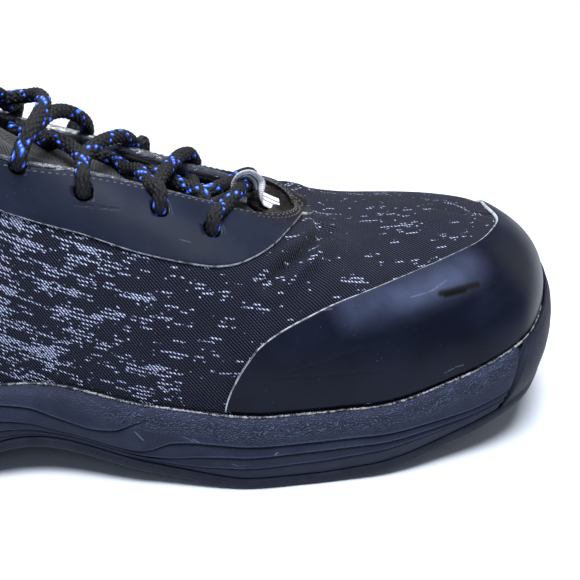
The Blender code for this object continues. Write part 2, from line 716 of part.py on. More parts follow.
def ring_open(alongs):
    """Columns out along the lateral side, round the toe and back along the medial side."""
    back = alongs[-2::-1]
    sides = np.concatenate([np.full(len(alongs), LATERAL), np.full(len(back), MEDIAL)])
    return np.concatenate([alongs, back]), sides


def make_eyestay():
    """The U of film round the throat, with the eyelets punched through."""
    start, tip = STAY_EDGE[0].along, STAY_EDGE[-1].along
    stations = upper_stations()
    room = COLUMN_ROOM_SHARE / 3
    lateral = np.concatenate([[start], stations[(stations > start + room) & (stations < tip - room)], [tip]])
    alongs, sides = ring_open(lateral)
    edge = by_side(lambda a, s: opening_edge(a, s), alongs, sides)
    top = edge - STAY_HEM_SHARE * np.clip((1 - edge) / 0.05, 0, 1)
    low = np.minimum(through(STAY_EDGE, "up", alongs), edge - 2 * STAY_HEM_SHARE * (edge < 1))
    edges = (alongs, low), (alongs, top)
    return overlay("eyestay", (alongs, sides), *edges, 1.0, (0.030, 0.036, 0.052), 0.42)


def make_tongue():
    """The padded tongue below the throat, cut from the upper's form one wall further in."""
    lateral = np.linspace(TONGUE_TOP_SHARE, TONGUE_FRONT_SHARE, TONGUE_COLUMNS)
    alongs, sides = ring_open(lateral)
    edge = by_side(lambda a, s: opening_edge(a, s), alongs, sides)
    low = np.clip(edge - TONGUE_LAP_SHARE, *TONGUE_EDGE)
    depth = UPPER_WALL + TONGUE_GAP
    body = Body()

    def sheet_row(share, out):
        up = low + (1 - low) * share
        place = alongs + TONGUE_CROWN_SHARE * share**2 * ramp(-alongs, -0.42, -TONGUE_TOP_SHARE)
        lateral_row = skin(place, LATERAL, up, out)
        medial_row = skin(place, MEDIAL, up, out)
        return body.row(np.where((sides == LATERAL)[:, None], lateral_row, medial_row))

    shares = [row / TONGUE_ROWS for row in range(TONGUE_ROWS + 1)]
    outer = [sheet_row(share, -depth) for share in shares]
    inner = [sheet_row(share, -depth - TONGUE_THICK) for share in shares[::-1]]
    close_sheet(body, outer, inner, np.zeros(len(alongs), bool))
    return body.finish("tongue", (0.016, 0.017, 0.022), 0.8)


def tube(body, points, radius, sides):
    """A capped tube along a smooth run of points."""
    points = np.asarray(points)
    ways = np.gradient(points, axis=0)
    ways /= np.linalg.norm(ways, axis=1, keepdims=True)
    rows = []
    across = np.cross(ways, [0.0, 0.0, 1.0])
    across /= np.linalg.norm(across, axis=1, keepdims=True)
    above = np.cross(across, ways)
    for turn in range(sides):
        angle = 2 * math.pi * turn / sides
        rows.append(points + radius * (math.cos(angle) * across + math.sin(angle) * above))
    loops = [body.row(loop) for loop in np.swapaxes(np.array(rows), 0, 1)]
    for first, second in zip(loops, loops[1:]):
        body.strip(first, second, closed=True)
    body.face(loops[0])
    body.face(loops[-1][::-1])


def lace_run(start, end, first_side, shifts):
    """Points of a lace from one eyelet across the throat to another, shifted along the throat at each."""
    points = []
    clear = LAYER_GAP + FILM + LACE_RADIUS + GAP
    first_along, last_along = start.along + shifts[0], end.along + shifts[1]
    for q in np.linspace(0, 1, LACE_POINTS):
        side = first_side if q <= 0.5 else -first_side
        part = abs(2 * q - 1)
        eyelet = start if q <= 0.5 else end
        along = first_along + (last_along - first_along) * q
        up = 1 - (1 - eyelet.up) * part
        points.append(skin(along, side, up, clear + LACE_RISE * math.sin(math.pi * q)))
    return points


def make_laces():
    """A bar across the two lowest eyelets and a crossing between each pair of eyelets above it."""
    colour, roughness = (0.012, 0.013, 0.020), 0.8
    bar = Body()
    bar_run = lace_run(EYELETS[0], EYELETS[0], LATERAL, (LACE_SHIFT_SHARE, LACE_SHIFT_SHARE))
    tube(bar, bar_run, LACE_RADIUS, LACE_SIDES)
    bar.finish("lace_bar", colour, roughness)
    for number, (start, end) in enumerate(zip(EYELETS, EYELETS[1:]), start=1):
        strands = []
        for side, name in ((LATERAL, f"lace_crossing_{number}"), (MEDIAL, f"lace_strand_{number}")):
            strand = Body()
            run = lace_run(start, end, side, (-LACE_SHIFT_SHARE, LACE_SHIFT_SHARE))
            tube(strand, run, LACE_RADIUS, LACE_SIDES)
            strands.append(strand.finish(name, colour, roughness))
        join(strands[0], strands[1], "UNION")


def join(part, other, operation):
    """Join or cut a part with another, which is then only a guide."""
    other.hide_render = True
    other.display_type = "WIRE"
    modifier = part.modifiers.new(operation.lower(), "BOOLEAN")
    modifier.operation = operation
    modifier.object = other
    modifier.solver = "EXACT"


def make_eyelet_cutter():
    """Round punches through the overlay and the upper, one at each eyelet."""
    body = Body()
    for eyelet in EYELETS:
        for side in (LATERAL, MEDIAL):
            punch = skin(eyelet.along, side, eyelet.up, np.array(PUNCH_WALLS) * UPPER_WALL)
            tube(body, punch, EYELET_RADIUS, EYELET_SIDES)
    return body.finish("eyelet_punches", (0.5, 0.5, 0.5), 0.5)


def make_lace_loop():
    """The webbing loop at the throat's base that guides the lowest lace."""
    half = WEBBING_WIDTH / 2
    top = UPPER_WALL + TONGUE_GAP
    path = []
    for bend in WEBBING:
        x = THROAT_FRONT - bend.back * WEBBING_REACH
        place = x / LENGTH + 0.5
        crest = through(STATIONS, "ridge", place) * INSTEP_HEIGHT
        path.append((x, float(crest) - top + bend.high * WEBBING_REACH + WEBBING_THICK / 2))
    path = np.array(path)
    way = np.gradient(path, axis=0)
    way /= np.linalg.norm(way, axis=1, keepdims=True)
    across = np.stack([-way[:, 1], way[:, 0]], -1) * WEBBING_THICK / 2
    middle = float(axis_y(THROAT_FRONT / LENGTH + 0.5) + PLAN_OFFSET)
    body = Body()
    corners = [
        [(x, middle + y, z) for x, z in path + offset]
        for offset, y in ((across, -half), (across, half), (-across, half), (-across, -half))
    ]
    rows = [body.row(corner) for corner in corners]
    for first, second in zip(rows, rows[1:] + rows[:1]):
        body.strip(first, second)
    body.face([row[0] for row in rows])
    body.face([row[-1] for row in rows])
    return body.finish("lace_loop", (0.42, 0.42, 0.42), 0.8)


def main():
    for old in list(bpy.data.objects):
        bpy.data.objects.remove(old, do_unlink=True)
    make_outsole()
    make_midsole()
    make_insole()
    upper = make_upper()
    make_toe_guard()
    eyestay = make_eyestay()
    make_tongue()
    make_lace_loop()
    make_laces()
    punches = make_eyelet_cutter()
    join(upper, punches, "DIFFERENCE")
    join(eyestay, punches, "DIFFERENCE")


main()
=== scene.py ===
"""Looks of the safety sneaker: fine forms, finishes, stitches and the lace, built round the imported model.

The shoe's form is worked out by the same functions and tables as its solids. Lengths are in metres, the
toe points along +X and the outer (lateral) side faces -Y.
"""
from collections import namedtuple
import math

import bmesh
import bpy
import numpy as np
from mathutils import Matrix, Vector, noise


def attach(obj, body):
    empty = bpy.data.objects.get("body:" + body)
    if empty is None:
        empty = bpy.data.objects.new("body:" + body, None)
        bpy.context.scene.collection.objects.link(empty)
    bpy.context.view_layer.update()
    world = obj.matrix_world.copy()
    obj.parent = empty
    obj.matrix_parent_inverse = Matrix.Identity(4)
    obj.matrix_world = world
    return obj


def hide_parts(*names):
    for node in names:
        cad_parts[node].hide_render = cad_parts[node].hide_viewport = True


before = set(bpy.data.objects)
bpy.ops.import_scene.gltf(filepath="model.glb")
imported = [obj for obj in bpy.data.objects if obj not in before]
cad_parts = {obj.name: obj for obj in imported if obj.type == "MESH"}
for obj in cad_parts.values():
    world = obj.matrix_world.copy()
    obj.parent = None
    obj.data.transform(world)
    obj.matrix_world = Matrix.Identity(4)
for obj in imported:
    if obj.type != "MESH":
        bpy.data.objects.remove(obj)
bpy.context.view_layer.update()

# The form's driving sizes, as in the solids
LENGTH = 0.306
BALL_WIDTH = 0.112
SOLE_HEIGHT = 0.0252
INSTEP_HEIGHT = 0.116
COLLAR_HEIGHT = 0.104
HEEL_TUCK = 0.007
GAP = 0.0003
LAYER_GAP = 0.0005
TONGUE_GAP = 0.0006
UPPER_WALL = 0.0028
COLLAR_PAD = 0.0042
FILM = 0.0009
TONGUE_THICK = 0.0050
INSOLE_THICK = 0.0040
OUTSOLE_THICK = 0.0042
LUG_DEPTH = 0.0026
BUMPER_THICK = 0.0022
UPPER_INSET = 0.0052
CUP_DEPTH = 0.0055
MARGIN_TUCK = 0.0008
RIM_PLAY = 0.0008
INSOLE_PLAY = 0.0012
INSOLE_LIFT = 0.0006
THROAT_HALF = 0.0140
THROAT_FRONT = 0.0575
THROAT_ROUND = 0.0120
THROAT_FLARE = 0.0070
EYELET_RADIUS = 0.0030
SOLE_GAP = 0.0005
SIDE_LEAN = 0.0020
STEP_DEPTH = 0.0010
FLAT_SPOT = 0.0005
TREAD_EDGE = 0.0040
TREAD_BAND = 0.0110
LUG_GAP = 0.0018
TOE_LIP = 0.0008

# Shares of the length and of the section, as in the solids
TOE_START = 0.76
HEEL_START = 0.14
END_POWER = 2.3
TOE_POLE = 0.868
HEEL_POLE = 0.12
BUMPER_START = 0.902
BUMPER_LEAN = 0.026
GUARD_CORNER = 0.626
GUARD_HEM = 0.012
STAY_HEM = 0.022
TONGUE_LAP = 0.17
TONGUE_TOP = 0.300
TONGUE_FRONT = 0.800
TONGUE_CROWN = 0.035
LUG_SHARES = (1.0, 0.68, 0.38)

Station = namedtuple("Station", "along lateral medial rim lift ridge fullness")
STATIONS = (
    Station(0.00, 0.340, 0.340, 1.47, 0.16, 1.72, 2.60),
    Station(0.10, 0.345, 0.345, 1.43, 0.00, 1.72, 2.60),
    Station(0.25, 0.350, 0.330, 1.35, 0.00, 1.46, 2.50),
    Station(0.40, 0.346, 0.290, 1.33, 0.47, 1.00, 2.30),
    Station(0.52, 0.432, 0.340, 1.10, 0.19, 0.80, 2.20),
    Station(0.64, 0.501, 0.432, 1.00, 0.00, 0.67, 2.12),
    Station(0.74, 0.501, 0.493, 1.01, 0.07, 0.59, 2.24),
    Station(0.84, 0.479, 0.504, 1.21, 0.33, 0.582, 2.28),
    Station(0.92, 0.495, 0.494, 1.50, 0.62, 0.50, 2.26),
    Station(1.00, 0.388, 0.563, 1.70, 0.82, 0.50, 1.90),
)
Collar = namedtuple("Collar", "along height")
COLLAR = (
    Collar(0.00, 1.00), Collar(0.06, 0.98), Collar(0.14, 0.86), Collar(0.21, 0.80),
    Collar(0.27, 0.86), Collar(0.32, 1.06), Collar(0.36, 1.32), Collar(0.46, 2.20),
)
# Stepped edges and the wave on the midsole's side: heights as shares of the side, depths of STEP_DEPTH
Edge = namedtuple("Edge", "along first second third depth wave wave_depth")
EDGES = (
    Edge(0.000, 0.58, 0.38, 0.20, 1.00, 0.80, 0.60),
    Edge(0.300, 0.58, 0.36, 0.18, 1.00, 0.80, 0.60),
    Edge(0.360, 0.50, 0.28, 0.12, 0.90, 0.77, 0.80),
    Edge(0.405, 0.32, 0.18, 0.08, 0.60, 0.64, 1.00),
    Edge(0.430, 0.21, 0.13, 0.06, 0.25, 0.50, 1.00),
    Edge(0.460, 0.19, 0.12, 0.06, 0.15, 0.43, 1.00),
    Edge(0.485, 0.18, 0.12, 0.06, 0.15, 0.53, 1.00),
    Edge(0.505, 0.21, 0.13, 0.06, 0.50, 0.74, 0.50),
    Edge(0.520, 0.30, 0.15, 0.07, 0.90, 0.84, 0.10),
    Edge(0.540, 0.50, 0.20, 0.08, 1.00, 0.86, 0.00),
    Edge(0.565, 0.58, 0.32, 0.12, 1.00, 0.86, 0.00),
    Edge(0.600, 0.61, 0.41, 0.20, 1.00, 0.86, 0.00),
    Edge(0.700, 0.62, 0.46, 0.27, 1.00, 0.86, 0.00),
    Edge(0.780, 0.57, 0.42, 0.30, 1.00, 0.86, 0.00),
    Edge(0.860, 0.40, 0.28, 0.17, 0.90, 0.86, 0.00),
    Edge(1.000, 0.36, 0.24, 0.14, 0.00, 0.86, 0.00),
)
Trim = namedtuple("Trim", "along up")
GUARD_EDGE = (
    Trim(0.590, 0.000), Trim(0.611, 0.175), Trim(0.630, 0.240), Trim(0.656, 0.300), Trim(0.686, 0.355),
    Trim(0.723, 0.420), Trim(0.764, 0.485), Trim(0.807, 0.540), Trim(0.848, 0.580), Trim(0.897, 0.620),
    Trim(0.940, 0.640), Trim(1.000, 0.645),
)
STAY_EDGE = (
    Trim(0.306, 0.470), Trim(0.340, 0.438), Trim(0.413, 0.428), Trim(0.467, 0.450),
    Trim(0.527, 0.462), Trim(0.583, 0.485), Trim(0.610, 0.510), Trim(0.642, 0.565), Trim(0.672, 0.640),
    Trim(0.702, 0.740), Trim(0.750, 0.905), Trim(0.785, 1.000),
)
EYELETS = (
    Trim(0.602, 0.650), Trim(0.546, 0.670), Trim(0.465, 0.610), Trim(0.403, 0.605), Trim(0.348, 0.600),
)
LATERAL, MEDIAL = -1, 1

# The camera, fitted to the photo: angles in degrees, lens and centre in the photo's pixels
CAMERA_ANGLES = (-12.253, 27.106, 1.7)
CAMERA_DISTANCE = 0.40
CAMERA_TARGET = (0.05, 0.0, 0.04)
PHOTO_WIDTH = 580
FOCAL_PIXELS = 1196.0
PHOTO_CENTRE = (263.552, 293.708)

# Steps of a cord's route, chosen over the photo: a point seen at a pixel of the photo (or left of its
# edge) at a side offset y, a point off the form, and a way out through an eyelet. Millimetres for y and out.
Seen = namedtuple("Seen", "across down y")
Off = namedtuple("Off", "side along up out")
Through = namedtuple("Through", "eyelet side")
Inward = namedtuple("Inward", "eyelet side")
# The lace's two halves, each from the tape loop to a top eyelet
LACE_HALVES = (
    (
        Seen(247, 184, -3), Seen(241, 188, -10), Seen(233, 196, -17), Seen(223, 208, -23),
        Off(LATERAL, 0.605, 0.695, 4), Inward(0, LATERAL),
        Seen(204, 196, -15), Seen(192, 189, -9), Seen(178, 183, -4), Seen(162, 174, 3),
        Off(MEDIAL, 0.558, 0.80, -5), Through(1, MEDIAL), Off(MEDIAL, 0.543, 0.74, 4),
        Seen(136, 150, 13.5), Seen(130, 140, 11), Seen(121, 136, 6), Seen(109, 138.5, 0),
        Seen(97, 144, -7), Seen(86, 154, -13), Seen(83, 165, -17.5),
        Through(2, LATERAL), Off(LATERAL, 0.463, 0.66, 4),
        Seen(82, 168, -21.5), Seen(81, 157, -15.5), Seen(71, 147, -9), Seen(58, 141, -3.5), Seen(47, 143, 2),
        Off(MEDIAL, 0.417, 0.70, -5), Through(3, MEDIAL), Off(MEDIAL, 0.401, 0.66, 4),
        Seen(8, 105, 14), Seen(0, 95, 10), Seen(-12, 93, 3), Seen(-24, 100, -6), Seen(-34, 114, -14),
        Off(LATERAL, 0.354, 0.66, -4.6), Off(LATERAL, 0.349, 0.612, -3.6), Off(LATERAL, 0.348, 0.600, -0.2),
        Off(LATERAL, 0.347, 0.604, 2.6), Off(LATERAL, 0.344, 0.635, 3.6),
    ),
    (
        Seen(247, 184, -3), Seen(252, 178, 3), Seen(249, 173.5, 7.5), Seen(240, 176, 7), Seen(231, 182, 1),
        Seen(221, 186, -6), Seen(208, 191, -12), Seen(196, 189, -6), Seen(192, 181, 2),
        Off(MEDIAL, 0.606, 0.73, -5.4), Through(0, MEDIAL), Off(MEDIAL, 0.601, 0.72, 4),
        Seen(195, 163, 13.5), Seen(190, 154, 11), Seen(181, 155, 6), Seen(170, 165, -3),
        Seen(160, 178, -14), Seen(156, 189, -19),
        Through(1, LATERAL), Off(LATERAL, 0.545, 0.73, 4),
        Seen(153, 187, -22.5), Seen(146, 179, -15.5), Seen(139, 170.5, -8), Seen(127, 169, -1),
        Seen(114, 160, 6),
        Off(MEDIAL, 0.479, 0.72, -5), Through(2, MEDIAL), Off(MEDIAL, 0.464, 0.665, 4),
        Seen(86, 134, 14.5), Seen(86, 124, 11), Seen(77, 115.5, 5), Seen(64, 111, 0), Seen(51, 113, -6),
        Seen(38, 124, -13), Seen(24, 142, -18.5),
        Through(3, LATERAL), Off(LATERAL, 0.402, 0.625, 4),
        Seen(22, 148, -22.5), Seen(29, 132, -19), Seen(39, 114, -11), Seen(44, 102, -4), Seen(38, 95, 3),
        Seen(26, 96, 9), Seen(8, 98, 11),
        Off(MEDIAL, 0.368, 0.66, -5), Through(4, MEDIAL), Off(MEDIAL, 0.344, 0.635, 3.6),
    ),
)
# How the lace passes an eyelet, from inside to outside: shifts from its centre in along and up, and out
Shift = namedtuple("Shift", "along up out")
PASSAGE = (
    Shift(0.004, 0.050, -5.6), Shift(0.001, 0.012, -3.6), Shift(0.0, 0.0, -0.2), Shift(-0.001, 0.004, 2.6),
)
TAPE_POINTS = (
    Seen(279, 206, -6.3), Seen(268, 201.2, -6.4), Seen(261, 197, -6.4), Seen(258, 190, -6.2),
    Seen(255, 180, -6), Seen(248, 174.5, -6), Seen(241, 176, -5.8), Seen(236.5, 184, -5.2),
    Seen(239, 192, -4.5), Seen(246, 195, -4),
)

# Creases of the worn upper: a trough through points given as (along, up) on one side, its depth and half
# width, and the height of the soft ridge beside it, in millimetres
Crease = namedtuple("Crease", "side points depth width ridge")
CREASES = (
    Crease(LATERAL, ((0.775, 0.90), (0.745, 0.76), (0.703, 0.623), (0.666, 0.52), (0.647, 0.455)),
           2.7, 1.7, 1.6),
    Crease(LATERAL, ((0.745, 0.64), (0.715, 0.55), (0.690, 0.47), (0.668, 0.38)), 0.9, 2.4, 0.5),
    Crease(LATERAL, ((0.640, 0.46), (0.620, 0.34), (0.610, 0.22), (0.606, 0.08)), 1.0, 2.8, 0.6),
    Crease(LATERAL, ((0.590, 0.44), (0.578, 0.30), (0.570, 0.12)), 0.8, 3.0, 0.5),
    Crease(LATERAL, ((0.556, 0.40), (0.546, 0.24), (0.541, 0.10)), 0.6, 3.4, 0.4),
    Crease(LATERAL, ((0.500, 0.38), (0.490, 0.24), (0.486, 0.10)), 0.5, 4.0, 0.3),
    Crease(MEDIAL, ((0.770, 0.92), (0.735, 0.74), (0.695, 0.60), (0.655, 0.46)), 1.8, 2.2, 1.0),
    Crease(MEDIAL, ((0.630, 0.42), (0.615, 0.30), (0.606, 0.14)), 0.9, 3.0, 0.5),
    Crease(MEDIAL, ((0.560, 0.40), (0.552, 0.24), (0.548, 0.10)), 0.7, 3.4, 0.4),
    Crease(MEDIAL, ((0.180, 0.40), (0.150, 0.30), (0.135, 0.16)), 0.7, 4.0, 0.4),
    Crease(LATERAL, ((0.190, 0.42), (0.165, 0.30), (0.150, 0.14)), 0.7, 4.0, 0.4),
)


def through(table, name, at):
    """A smooth monotone curve through one column of a table, read at the shares in at."""
    places = np.array([row.along for row in table])
    values = np.array([getattr(row, name) for row in table])
    step = np.diff(places)
    slope = np.diff(values) / step
    tangent = np.concatenate([slope[:1], np.zeros(len(slope) - 1), slope[-1:]])
    same_way = slope[:-1] * slope[1:] > 0
    total = np.where(same_way, slope[:-1] + slope[1:], 1.0)
    tangent[1:-1] = np.where(same_way, 2 * slope[:-1] * slope[1:] / total, 0.0)
    at = np.clip(at, places[0], places[-1])
    i = np.clip(np.searchsorted(places, at, side="right") - 1, 0, len(step) - 1)
    s = (at - places[i]) / step[i]
    start = values[i] + (values[i + 1] - values[i]) * (3 * s**2 - 2 * s**3)
    return start + step[i] * (tangent[i] * (s**3 - 2 * s**2 + s) + tangent[i + 1] * (s**3 - s**2))


def ramp(value, low, high):
    """A soft rise from 0 at low to 1 at high."""
    s = np.clip((value - low) / (high - low), 0.0, 1.0)
    return s * s * (3 - 2 * s)


def closing(along):
    """How much of its half width the plan keeps towards the rounded toe and heel."""
    toe = np.clip((along - TOE_START) / (1 - TOE_START), 0, 1)
    heel = np.clip((HEEL_START - along) / HEEL_START, 0, 1)
    return np.sqrt((1 - toe**END_POWER) * (1 - heel**END_POWER))


def axis_y(along):
    """The plan's centre line, before the plan is centred on y = 0."""
    middle = (through(STATIONS, "medial", along) - through(STATIONS, "lateral", along)) / 2
    return middle * BALL_WIDTH


def half_width(along):
    half = (through(STATIONS, "medial", along) + through(STATIONS, "lateral", along)) / 2
    return half * BALL_WIDTH * closing(along)


def plan_offset():
    """The shift that centres the sole's plan on y = 0."""
    along = np.linspace(0, 1, 2001)
    return -((axis_y(along) + half_width(along)).max() + (axis_y(along) - half_width(along)).min()) / 2


PLAN_OFFSET = plan_offset()


def axis_point(along):
    return (along - 0.5) * LENGTH, axis_y(along) + PLAN_OFFSET


def outline(along, side, out=0.0):
    """A point of the sole's plan outline, moved outward by out, and the outward direction there."""
    along = np.asarray(along, float)
    nudge = 1e-4
    before = np.clip(along - nudge, 0, 1)
    after = np.clip(along + nudge, 0, 1)
    run = (after - before) * LENGTH
    rise = axis_y(after) + side * half_width(after) - axis_y(before) - side * half_width(before)
    size = np.hypot(run, rise)
    way_x = -side * rise / size
    way_y = side * run / size
    way_x = np.where(along >= 1, 1.0, np.where(along <= 0, -1.0, way_x))
    way_y = np.where((along >= 1) | (along <= 0), 0.0, way_y)
    x, y = axis_point(along)
    return x + way_x * out, y + side * half_width(along) + way_y * out, way_x, way_y


def rim_height(along):
    return through(STATIONS, "rim", along) * SOLE_HEIGHT


def tread_height(along):
    return np.maximum(through(STATIONS, "lift", along) * SOLE_HEIGHT - FLAT_SPOT, 0.0)


def pole(along):
    """The share of the length where the rib that starts at along meets the ridge."""
    return HEEL_POLE + (TOE_POLE - HEEL_POLE) * along


def rib(along, side, up):
    """A point of the upper's form on the rib that starts at along, from rim (up 0) to ridge (up 1)."""
    foot_x, foot_y, way_x, way_y = outline(along, side, -UPPER_INSET)
    foot_z = rim_height(along)
    top_x, top_y = axis_point(pole(along))
    top_z = through(STATIONS, "ridge", pole(along)) * INSTEP_HEIGHT
    power = 2 / through(STATIONS, "fullness", along)
    angle = np.clip(up, 0, 1) * math.pi / 2
    inward = 1 - np.cos(angle) ** power
    upward = np.sin(angle) ** power
    z = foot_z + (top_z - foot_z) * upward
    tuck = HEEL_TUCK * (1 - ramp(along, 0.04, 0.34)) * ramp(z, 0.50 * COLLAR_HEIGHT, 0.98 * COLLAR_HEIGHT)
    tuck = tuck * (1 - ramp(up, 0.6, 0.9))
    x = foot_x + (top_x - foot_x) * inward - way_x * tuck
    y = foot_y + (top_y - foot_y) * inward - way_y * tuck
    return np.stack([x, y, z], -1)


def one_side_normal(along, side, up):
    """The form's outward direction, as one side alone gives it."""
    nudge = 1e-4
    lean = 0.01
    along = np.clip(along, 2 * nudge, 1 - 2 * nudge)
    run = rib(along + nudge, side, up) - rib(along - nudge, side, up)
    rise = rib(along, side, np.minimum(up + lean, 1)) - rib(along, side, np.maximum(up - lean, 0))
    normal = -side * np.cross(run, rise)
    return normal / np.linalg.norm(normal, axis=-1, keepdims=True)


def skin(along, side, up, out=0.0):
    """A point of the upper's form moved out along its normal, which both sides share at every seam."""
    along, up, out = np.broadcast_arrays(*[np.asarray(value, float) for value in (along, up, out)])
    normal = one_side_normal(along, side, up)
    seam = ((up >= 1 - 1e-9) | (along <= 1e-9) | (along >= 1 - 1e-9))[..., None]
    normal = np.where(seam, normal + one_side_normal(along, -side, up), normal)
    normal = normal / np.linalg.norm(normal, axis=-1, keepdims=True)
    return rib(along, side, up) + normal * out[..., None]


def throat_half(x):
    """Half width of the throat's opening at x, rounded at its base and flared at its top."""
    into = np.clip((x - THROAT_FRONT + THROAT_ROUND) / THROAT_ROUND, 0, 1)
    place = x / LENGTH + 0.5
    flare = THROAT_FLARE * ramp(-place, -0.60, -0.28)
    in_front_of_collar = ramp(place, 0.20, 0.28)
    return (THROAT_HALF + flare) * np.sqrt(1 - into**2) * in_front_of_collar - GAP * (x > THROAT_FRONT)


def opening_edge(along, side):
    """Where each rib meets the collar or the throat, as its up share; 1 where it runs on to the ridge."""
    up = np.linspace(0.04, 1, 385)
    points = rib(np.asarray(along, float)[:, None], side, up[None, :])
    place = points[..., 0] / LENGTH + 0.5
    below = through(COLLAR, "height", place) * COLLAR_HEIGHT - points[..., 2]
    beside = np.abs(points[..., 1] - axis_y(place) - PLAN_OFFSET) - throat_half(points[..., 0])
    inside = np.minimum(below, beside)
    edges = np.ones(len(points))
    for row, signs in enumerate(inside):
        crossed = np.nonzero(signs < 0)[0]
        if len(crossed):
            after = crossed[0]
            share = signs[after - 1] / (signs[after - 1] - signs[after])
            edges[row] = up[after - 1] + share * (up[after] - up[after - 1])
    return edges


def plan_stations(heel, middle, toe):
    """Shares of the length, spaced so that the rounded toe and heel get even arcs."""
    quarter = math.pi / 2
    heel_arc = [HEEL_START * (1 - math.cos(quarter * k / heel) ** (2 / END_POWER)) for k in range(heel)]
    straight = [HEEL_START + (TOE_START - HEEL_START) * k / middle for k in range(middle)]
    toe_sines = [math.sin(quarter * k / toe) ** (2 / END_POWER) for k in range(toe + 1)]
    return np.array(heel_arc + straight + [TOE_START + (1 - TOE_START) * sine for sine in toe_sines])


def ring(alongs):
    """Columns round the plan, out along the lateral side and back along the medial one."""
    back = alongs[-2:0:-1]
    sides = np.concatenate([np.full(len(alongs), LATERAL), np.full(len(back), MEDIAL)])
    return np.concatenate([alongs, back]), sides


def ring_open(alongs):
    """Columns from the lateral side round the front to the medial side."""
    back = alongs[-2::-1]
    sides = np.concatenate([np.full(len(alongs), LATERAL), np.full(len(back), MEDIAL)])
    return np.concatenate([alongs, back]), sides


def by_side(function, alongs, sides, *others):
    """Work a one-side function out for columns of both sides."""
    picked = [np.broadcast_to(np.asarray(other, float), alongs.shape) for other in others]
    lateral = function(alongs, LATERAL, *picked)
    medial = function(alongs, MEDIAL, *picked)
    pick = sides == LATERAL
    return np.where(pick[:, None] if np.ndim(lateral) > 1 else pick, lateral, medial)


def outline_xy(alongs, sides, out):
    """The plan's outline in x and y, moved outward, for columns of both sides."""
    return [by_side(lambda a, s, o, n=n: outline(a, s, o)[n], alongs, sides, out) for n in range(2)]


def level(x, y, z):
    return np.stack(np.broadcast_arrays(x, y, z), -1)


def leaned(along, share):
    """Columns near the bumper's rear edge lean forward with it as it rises."""
    near = np.clip(1 - np.abs(along - BUMPER_START) / 0.05, 0, 1)
    return along + BUMPER_LEAN * (share - 0.35) * near


def split_height(along):
    """Top of the outsole at the sole's edge."""
    return tread_height(along) + OUTSOLE_THICK


def side_row(alongs, sides, share, out):
    """A row of the sole's side at a share of the height from the outsole's top (0) to the rim (1)."""
    moved = leaned(alongs, share)
    x, y = outline_xy(moved, sides, out)
    low = split_height(moved)
    return level(x, y, low + (rim_height(moved) - low) * share)


def side_bulge(share):
    """The side leans in towards the rim and the tread."""
    return -SIDE_LEAN * np.abs(2 * share - 1) ** 2


def fan_row(alongs, sides, edge_out, share, edge_height, axis_height):
    """A row on the lines that run from the outline, moved out by edge_out, to the centre line."""
    x, y = outline_xy(alongs, sides, edge_out)
    centre_x, centre_y = axis_point(pole(alongs))
    z = edge_height + (axis_height - edge_height) * share
    return level(x + (centre_x - x) * share, y + (centre_y - y) * share, z)


def cup_floor(alongs, sides, share):
    """The floor inside the midsole's rim, from its edge to the centre line."""
    edge = rim_height(alongs) - CUP_DEPTH
    centre = rim_height(pole(alongs)) - CUP_DEPTH
    return fan_row(alongs, sides, -UPPER_INSET + RIM_PLAY, share, edge, centre)


# Fabric coordinates: how far a point lies along the shoe, and round the section from its ridge

ARC_STEPS = 97
HEEL_TURN = 0.20


def girth(along, side, up):
    """Length of the section from the ridge down to the point, measured over the form."""
    steps = np.linspace(0, 1, ARC_STEPS)
    points = rib(along[..., None], side, steps)
    pieces = np.linalg.norm(np.diff(points, axis=-2), axis=-1)
    climbed = np.concatenate([np.zeros(pieces.shape[:-1] + (1,)), np.cumsum(pieces, -1)], -1)
    place = np.clip(up, 0, 1) * (ARC_STEPS - 1)
    low = np.minimum(place.astype(int), ARC_STEPS - 2)[..., None]
    below = np.take_along_axis(climbed, low, -1)[..., 0]
    above = np.take_along_axis(climbed, low + 1, -1)[..., 0]
    return climbed[..., -1] - (below + (above - below) * (place - low[..., 0]))


def cloth(along, side, up):
    """Fabric coordinates of a point: along the shoe, and from the ridge, negative on the lateral side."""
    along, up = np.broadcast_arrays(np.asarray(along, float), np.asarray(up, float))
    walk = np.linspace(0, HEEL_TURN, 201)
    x, y, _, _ = outline(walk, side, -UPPER_INSET)
    walked = np.concatenate([[0.0], np.cumsum(np.hypot(np.diff(x), np.diff(y)))])
    behind = x[-1] - (walked[-1] - np.interp(along, walk, walked))
    at_heel = 1 - ramp(along, 0.10, HEEL_TURN)
    ahead = rib(along, side, up)[..., 0]
    return np.stack([ahead + (behind - ahead) * at_heel, side * girth(along, side, up)], -1)


def crease_line(crease):
    """Closely set fabric coordinates along a crease."""
    marks = np.array([cloth(np.array(along), crease.side, np.array(up)) for along, up in crease.points])
    at = np.linspace(0, 1, len(marks))
    return np.stack([np.interp(np.linspace(0, 1, 60), at, marks[:, n]) for n in range(2)], -1)


CREASE_LINES = [crease_line(crease) for crease in CREASES]


def crease_depth(place):
    """How far the creases push the fabric in, at fabric coordinates."""
    push = np.zeros(place.shape[:-1])
    for crease, line in zip(CREASES, CREASE_LINES):
        far = np.linalg.norm(place[..., None, :] - line, axis=-1) * 1000
        nearest = far.argmin(-1)
        distance = np.take_along_axis(far, nearest[..., None], -1)[..., 0]
        fade = np.sin(np.pi * np.clip((nearest + 4) / 68, 0, 1)) ** 0.6
        trough = crease.depth * np.exp(-((distance / crease.width) ** 2))
        beside = crease.ridge * np.exp(-(((distance - 2.2 * crease.width) / crease.width) ** 2))
        push += (trough - beside) * fade / 1000
    return push


# Meshes from grids of points

